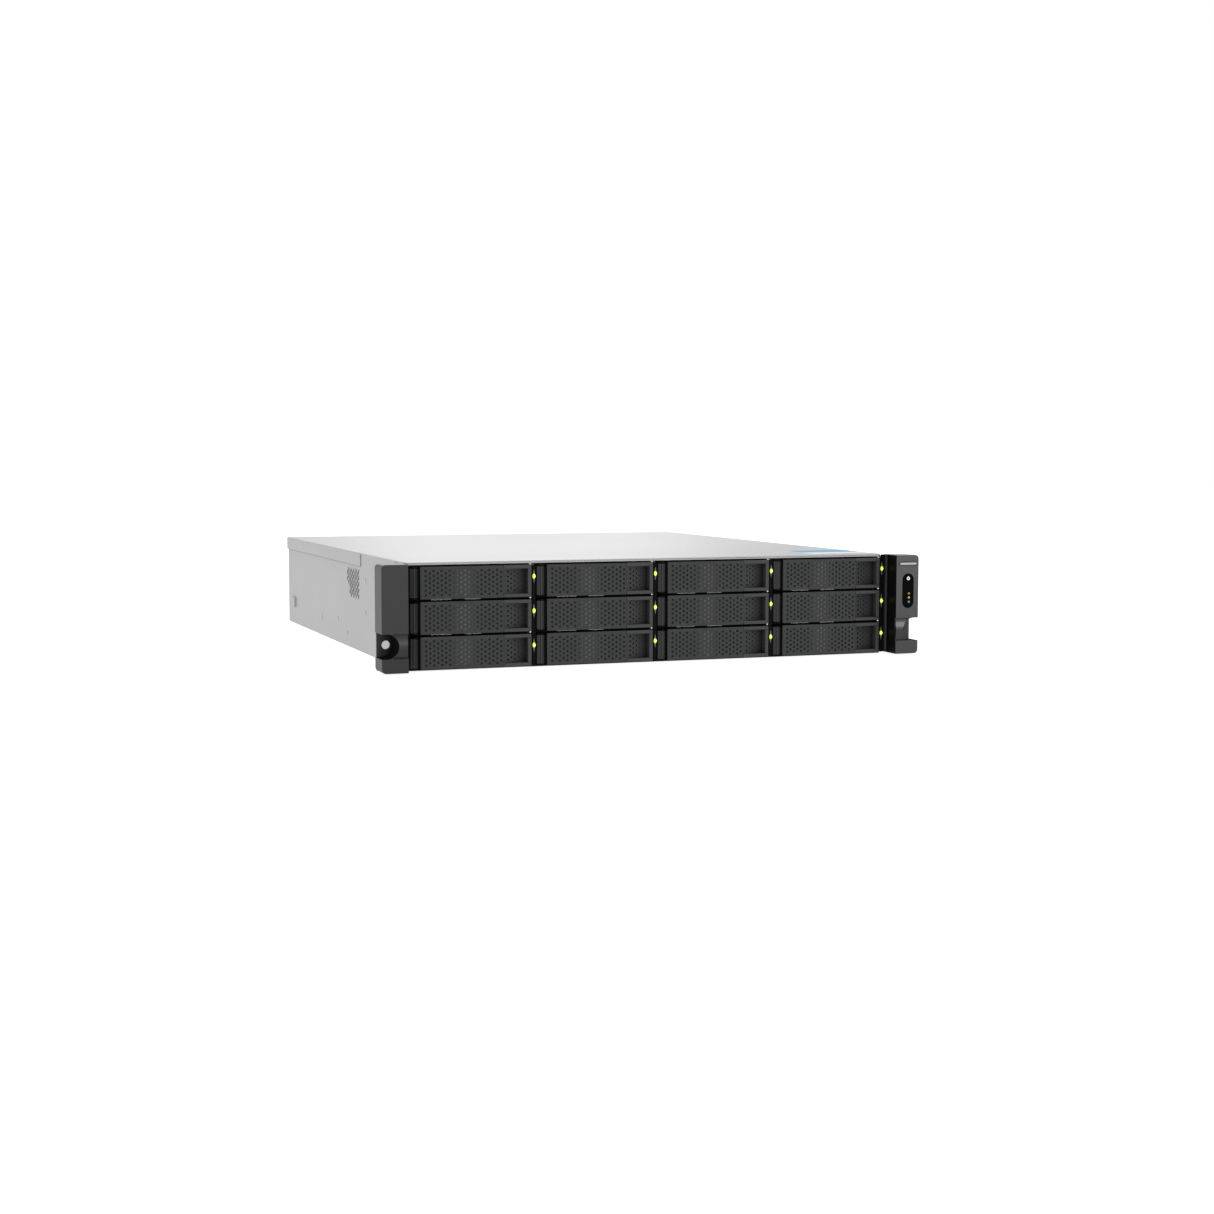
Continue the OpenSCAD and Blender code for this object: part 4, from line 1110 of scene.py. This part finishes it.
# screws on the rear wall and on the slot brackets
b = MB()
for x, z in ((-209, 30), (-209, 80), (34, 6), (34, 82), (121, 83), (207, 83), (-100, 27.5), (-30, 5)):
    b.lathe(x, z, [(494.9, 2.9), (495.5, 2.9), (496.0, 2.0), (496.0, 1.1), (495.5, 0.9)], "y", 24)
for k in range(4):
    b.lathe(48 + 20.32 * k, 79.4, [(494.9, 2.6), (495.6, 2.6), (496.1, 1.8), (496.1, 1.0), (495.6, 0.8)], "y", 24)
make("rear_screws", b, ["screw"], "root", slot="zinc_steel")

# power supplies: inlet with pins, fan behind a wire grille, lamp and face screws
for k, zc in ((1, 21.1), (2, 62.1)):
    b = MB()
    xi, xf = 145.7, 182.0
    for x0, x1, z0, z1 in ((132.1, 134.6, zc - 9.9, zc + 9.9), (156.8, 159.3, zc - 9.9, zc + 9.9), (134.6, 156.8, zc - 9.9, zc - 7.4), (134.6, 156.8, zc + 7.4, zc + 9.9)):
        b.box(x0, x1, 480.0, 495.6, z0, z1)
    b.box(132.1, 159.3, 478.6, 480.0, zc - 9.9, zc + 9.9)
    b.lathe(xf, zc, [(490.1, 13.9), (490.5, 13.9)], "y", 40)
    make(f"psu_{k}_inlet", b, ["black"], f"psu_{k}", slot="black_plastic")
    b = MB()
    for dx, dz in ((0.0, 3.2), (-5.4, -2.6), (5.4, -2.6)):
        b.box(xi + dx - 0.9, xi + dx + 0.9, 479.5, 491.5, zc + dz - 2.0, zc + dz + 2.0)
    make(f"psu_{k}_pins", b, ["pin"], f"psu_{k}", slot="bare_steel", bevel=0.3, seg=2)
    b = MB()
    b.lathe(xf, zc, [(490.4, 5.2), (492.6, 5.2), (492.9, 4.8)], "y", 32)
    for j in range(7):
        a0 = 2 * math.pi * j / 7
        pts = []
        for q, (rad, off) in enumerate(((5.0, 0.0), (13.2, 0.14), (13.2, 0.62), (5.0, 0.44))):
            pts.append((xf + rad * math.cos(a0 + off), zc + rad * math.sin(a0 + off)))
        n0 = len(b.v)
        vs = [(pts[0][0], 490.9, pts[0][1]), (pts[1][0], 490.9, pts[1][1]), (pts[2][0], 492.6, pts[2][1]), (pts[3][0], 492.6, pts[3][1])]
        vs += [(x, y + 0.35, z) for x, y, z in vs]
        b.add(vs, [(0, 1, 2, 3), (7, 6, 5, 4), (0, 4, 5, 1), (1, 5, 6, 2), (2, 6, 7, 3), (3, 7, 4, 0)])
    make(f"psu_{k}_fan", b, ["fan"], f"psu_{k}", slot="black_plastic")
    b = MB()
    for rad in (4.2, 7.6, 11.0):
        path = [(xf + rad * math.cos(2 * math.pi * j / 40), 495.4, zc + rad * math.sin(2 * math.pi * j / 40)) for j in range(41)]
        b.sweep(path, 0.45, 8)
    for a0 in (45, 135):
        ca, sa = math.cos(math.radians(a0)), math.sin(math.radians(a0))
        b.sweep([(xf - 14.6 * ca, 495.9, zc - 14.6 * sa), (xf + 14.6 * ca, 495.9, zc + 14.6 * sa)], 0.5, 8)
    make(f"psu_{k}_grille", b, ["pin"], f"psu_{k}", slot="bare_steel")
    b = MB()
    for x, z in ((131.6, zc + 16.4), (131.6, zc - 16.4), (160.8, zc + 16.4), (160.8, zc - 16.4)):
        b.lathe(x, z, [(495.8, 1.8), (496.3, 1.8), (496.6, 1.2), (496.6, 0.7), (496.2, 0.5)], "y", 20)
    make(f"psu_{k}_screws", b, ["screw"], f"psu_{k}", slot="bare_steel")
    b = MB()
    b.lathe(171.5, zc + 16.2, [(495.8, 1.3), (496.3, 1.3), (496.6, 0.8)], "y", 20)
    make(f"psu_{k}_lamp", b, ["ok"], f"psu_{k}", slot="psu_shell")

# ---------------------------------------------------------------- board details
b = MB()
ZT = 8.6
for x, y, w, d, h in ((-150, 330, 26, 26, 2.2), (-150, 392, 18, 18, 1.6), (-110, 440, 14, 14, 1.4), (-182, 452, 10, 10, 1.3), (-163, 452, 10, 10, 1.3),
                      (-120, 300, 12, 9, 1.2), (-96, 270, 10, 8, 1.2), (84, 300, 12, 12, 1.4), (86, 352, 9, 14, 1.2), (84, 404, 8, 8, 1.0), (-186, 290, 14, 10, 1.4)):
    b.mat(0).box(x - w / 2, x + w / 2, y - d / 2, y + d / 2, ZT, ZT + h)
for j in range(6):
    b.mat(0).box(-100 + 0.0, -91, 312 + 14 * j, 321 + 14 * j, ZT, ZT + 6.5)
for j in range(7):
    b.mat(1).cyl(-84, 306 + 14 * j, 3.3, ZT, ZT + 11, "z", 20)
for x, y in ((-196, 262), (-184, 262), (-172, 262), (-60, 262), (-48, 262), (70, 262), (82, 262), (-40, 440), (-28, 440), (-16, 440)):
    b.mat(1).cyl(x, y, 4.0, ZT, ZT + 9, "z", 20)
b.mat(1).cyl(-130, 415, 10.0, ZT + 1.2, ZT + 4.4, "z", 32)
b.mat(0).cyl(-130, 415, 10.8, ZT, ZT + 1.2, "z", 32)
for j in range(6):
    b.mat(2).box(-30 + 9 * j, -23.5 + 9 * j, 252, 266, ZT, ZT + 8.5)
    b.mat(0).box(-29 + 9 * j, -24.5 + 9 * j, 251.8, 254, ZT + 1.5, ZT + 7)
b.mat(2).box(80, 98, 440, 466, ZT, ZT + 7.0)
for j in range(24):
    b.mat(1).box(-200 + 5.2 * (j % 12), -198.6 + 5.2 * (j % 12), 354 + 14 * (j // 12), 355 + 14 * (j // 12), ZT, ZT + 0.6)
make("board_parts", b, ["chip", "can", "black"], "root", slot="circuit_board", bevel=0.25, seg=1)
b = MB()
for k in range(4):
    for j in range(8):
        y = 290 + 16 * j
        b.mat(0).box(25.62 + 11 * k, 26.6 + 11 * k, y, y + 9.5, 22, 33)
        b.mat(0).box(23.4 + 11 * k, 24.38 + 11 * k, y, y + 9.5, 22, 33)
    for y in (279.2, 421.2):
        b.mat(1).box(22.6 + 11 * k, 27.4 + 11 * k, y, y + 5.4, 13.6, 20)
make("memory_chips", b, ["chip", "paper"], "root", slot="circuit_board", bevel=0.12, seg=1)
# sinks and chips on the front of the backplane's rear face
b = MB()
for x in (-160, -52, 56, 164):
    for z in (20, 49):
        b.mat(0).box(x - 6, x + 6, 165.6, 166.8, z - 3, z + 3)
    b.mat(1).box(x - 12, x + 12, 165.6, 173.0, 4.5, 9.5)
make("backplane_parts", b, ["chip", "paper"], "root", slot="circuit_board", bevel=0.15, seg=1)
# fan hub labels, one turning with each rotor, and the fan screws
for k in (1, 2, 3):
    x = 140.0 * (k - 2)
    b = MB()
    b.lathe(x, 44.0, [(180.88, 14.0), (181.02, 14.0)], "y", 40)
    b.box(x - 2.0, x + 2.0, 180.8, 180.9, 50.0, 54.0)
    make(f"fan_{k}_hub_label", b, ["paper"], f"rotor_{k}", slot="black_plastic")
b = MB()
for k in (-1, 0, 1):
    for i in (-1, 1):
        for j in (-1, 1):
            b.lathe(140.0 * k + 35.75 * i, 44.0 + 35.75 * j, [(177.5, 3.4), (176.9, 3.2), (176.3, 2.0), (176.3, 1.1), (176.8, 0.9)], "y", 20)
make("fan_screws", b, ["screw"], "root", slot="bare_steel")

# ---------------------------------------------------------------- carried-over CAD nodes
set_mat("chassis_base", "pan")
set_mat("rear_panel", "steel")
set_mat("drive_cage", "shelf")
set_mat("backplane", "back_board")
set_mat("fan_bracket", "inner")
set_mat("fan_frames", "black")
for k in (1, 2, 3):
    set_mat(f"fan_rotor_{k}", "fan")
set_mat("motherboard", "main_board")
set_mat("cpu_heatsink", "heat")
set_mat("memory_modules", "pcb")
set_mat("pcie_brackets", "inner")
for k in (1, 2):
    set_mat(f"psu_{k}", "inner")
    set_mat(f"psu_latch_{k}", "latch")

# ---------------------------------------------------------------- stage and light
bpy.ops.mesh.primitive_plane_add(size=14, location=(0, 0, -0.0004))
floor = bpy.context.object
floor.name = "floor"
fm, nt, bs = nodes_of("floor_white")
bs.inputs["Base Color"].default_value = (0.38, 0.38, 0.38, 1)
bs.inputs["Emission Color"].default_value = (1, 1, 1, 1)
bs.inputs["Emission Strength"].default_value = 0.86
bs.inputs["Roughness"].default_value = 0.9
bs.inputs["Specular IOR Level"].default_value = 0.1
floor.data.materials.append(fm)

w = bpy.data.worlds.new("studio")
w.use_nodes = True
w.node_tree.nodes["Background"].inputs["Color"].default_value = (1, 1, 1, 1)
w.node_tree.nodes["Background"].inputs["Strength"].default_value = 1.0
bpy.context.scene.world = w


def area(name, loc, target, size, power, col=(1, 1, 1), size_y=None):
    L = bpy.data.lights.new(name, "AREA")
    L.energy = power
    L.color = col
    L.shape = "RECTANGLE" if size_y else "SQUARE"
    L.size = size
    if size_y:
        L.size_y = size_y
    o = bpy.data.objects.new(name, L)
    LINK(o)
    o.location = loc
    o.rotation_euler = (Vector(target) - Vector(loc)).to_track_quat("-Z", "Y").to_euler()
    return o


area("key_top", (-0.6, -0.5, 2.2), (0, 0, 0), 1.2, 3.0)
area("right_front", (1.6, -1.5, 0.5), (0.15, -0.2, 0.04), 0.8, 1.6)

bpy.context.scene.view_settings.view_transform = "Standard"
bpy.context.scene.view_settings.look = "None"
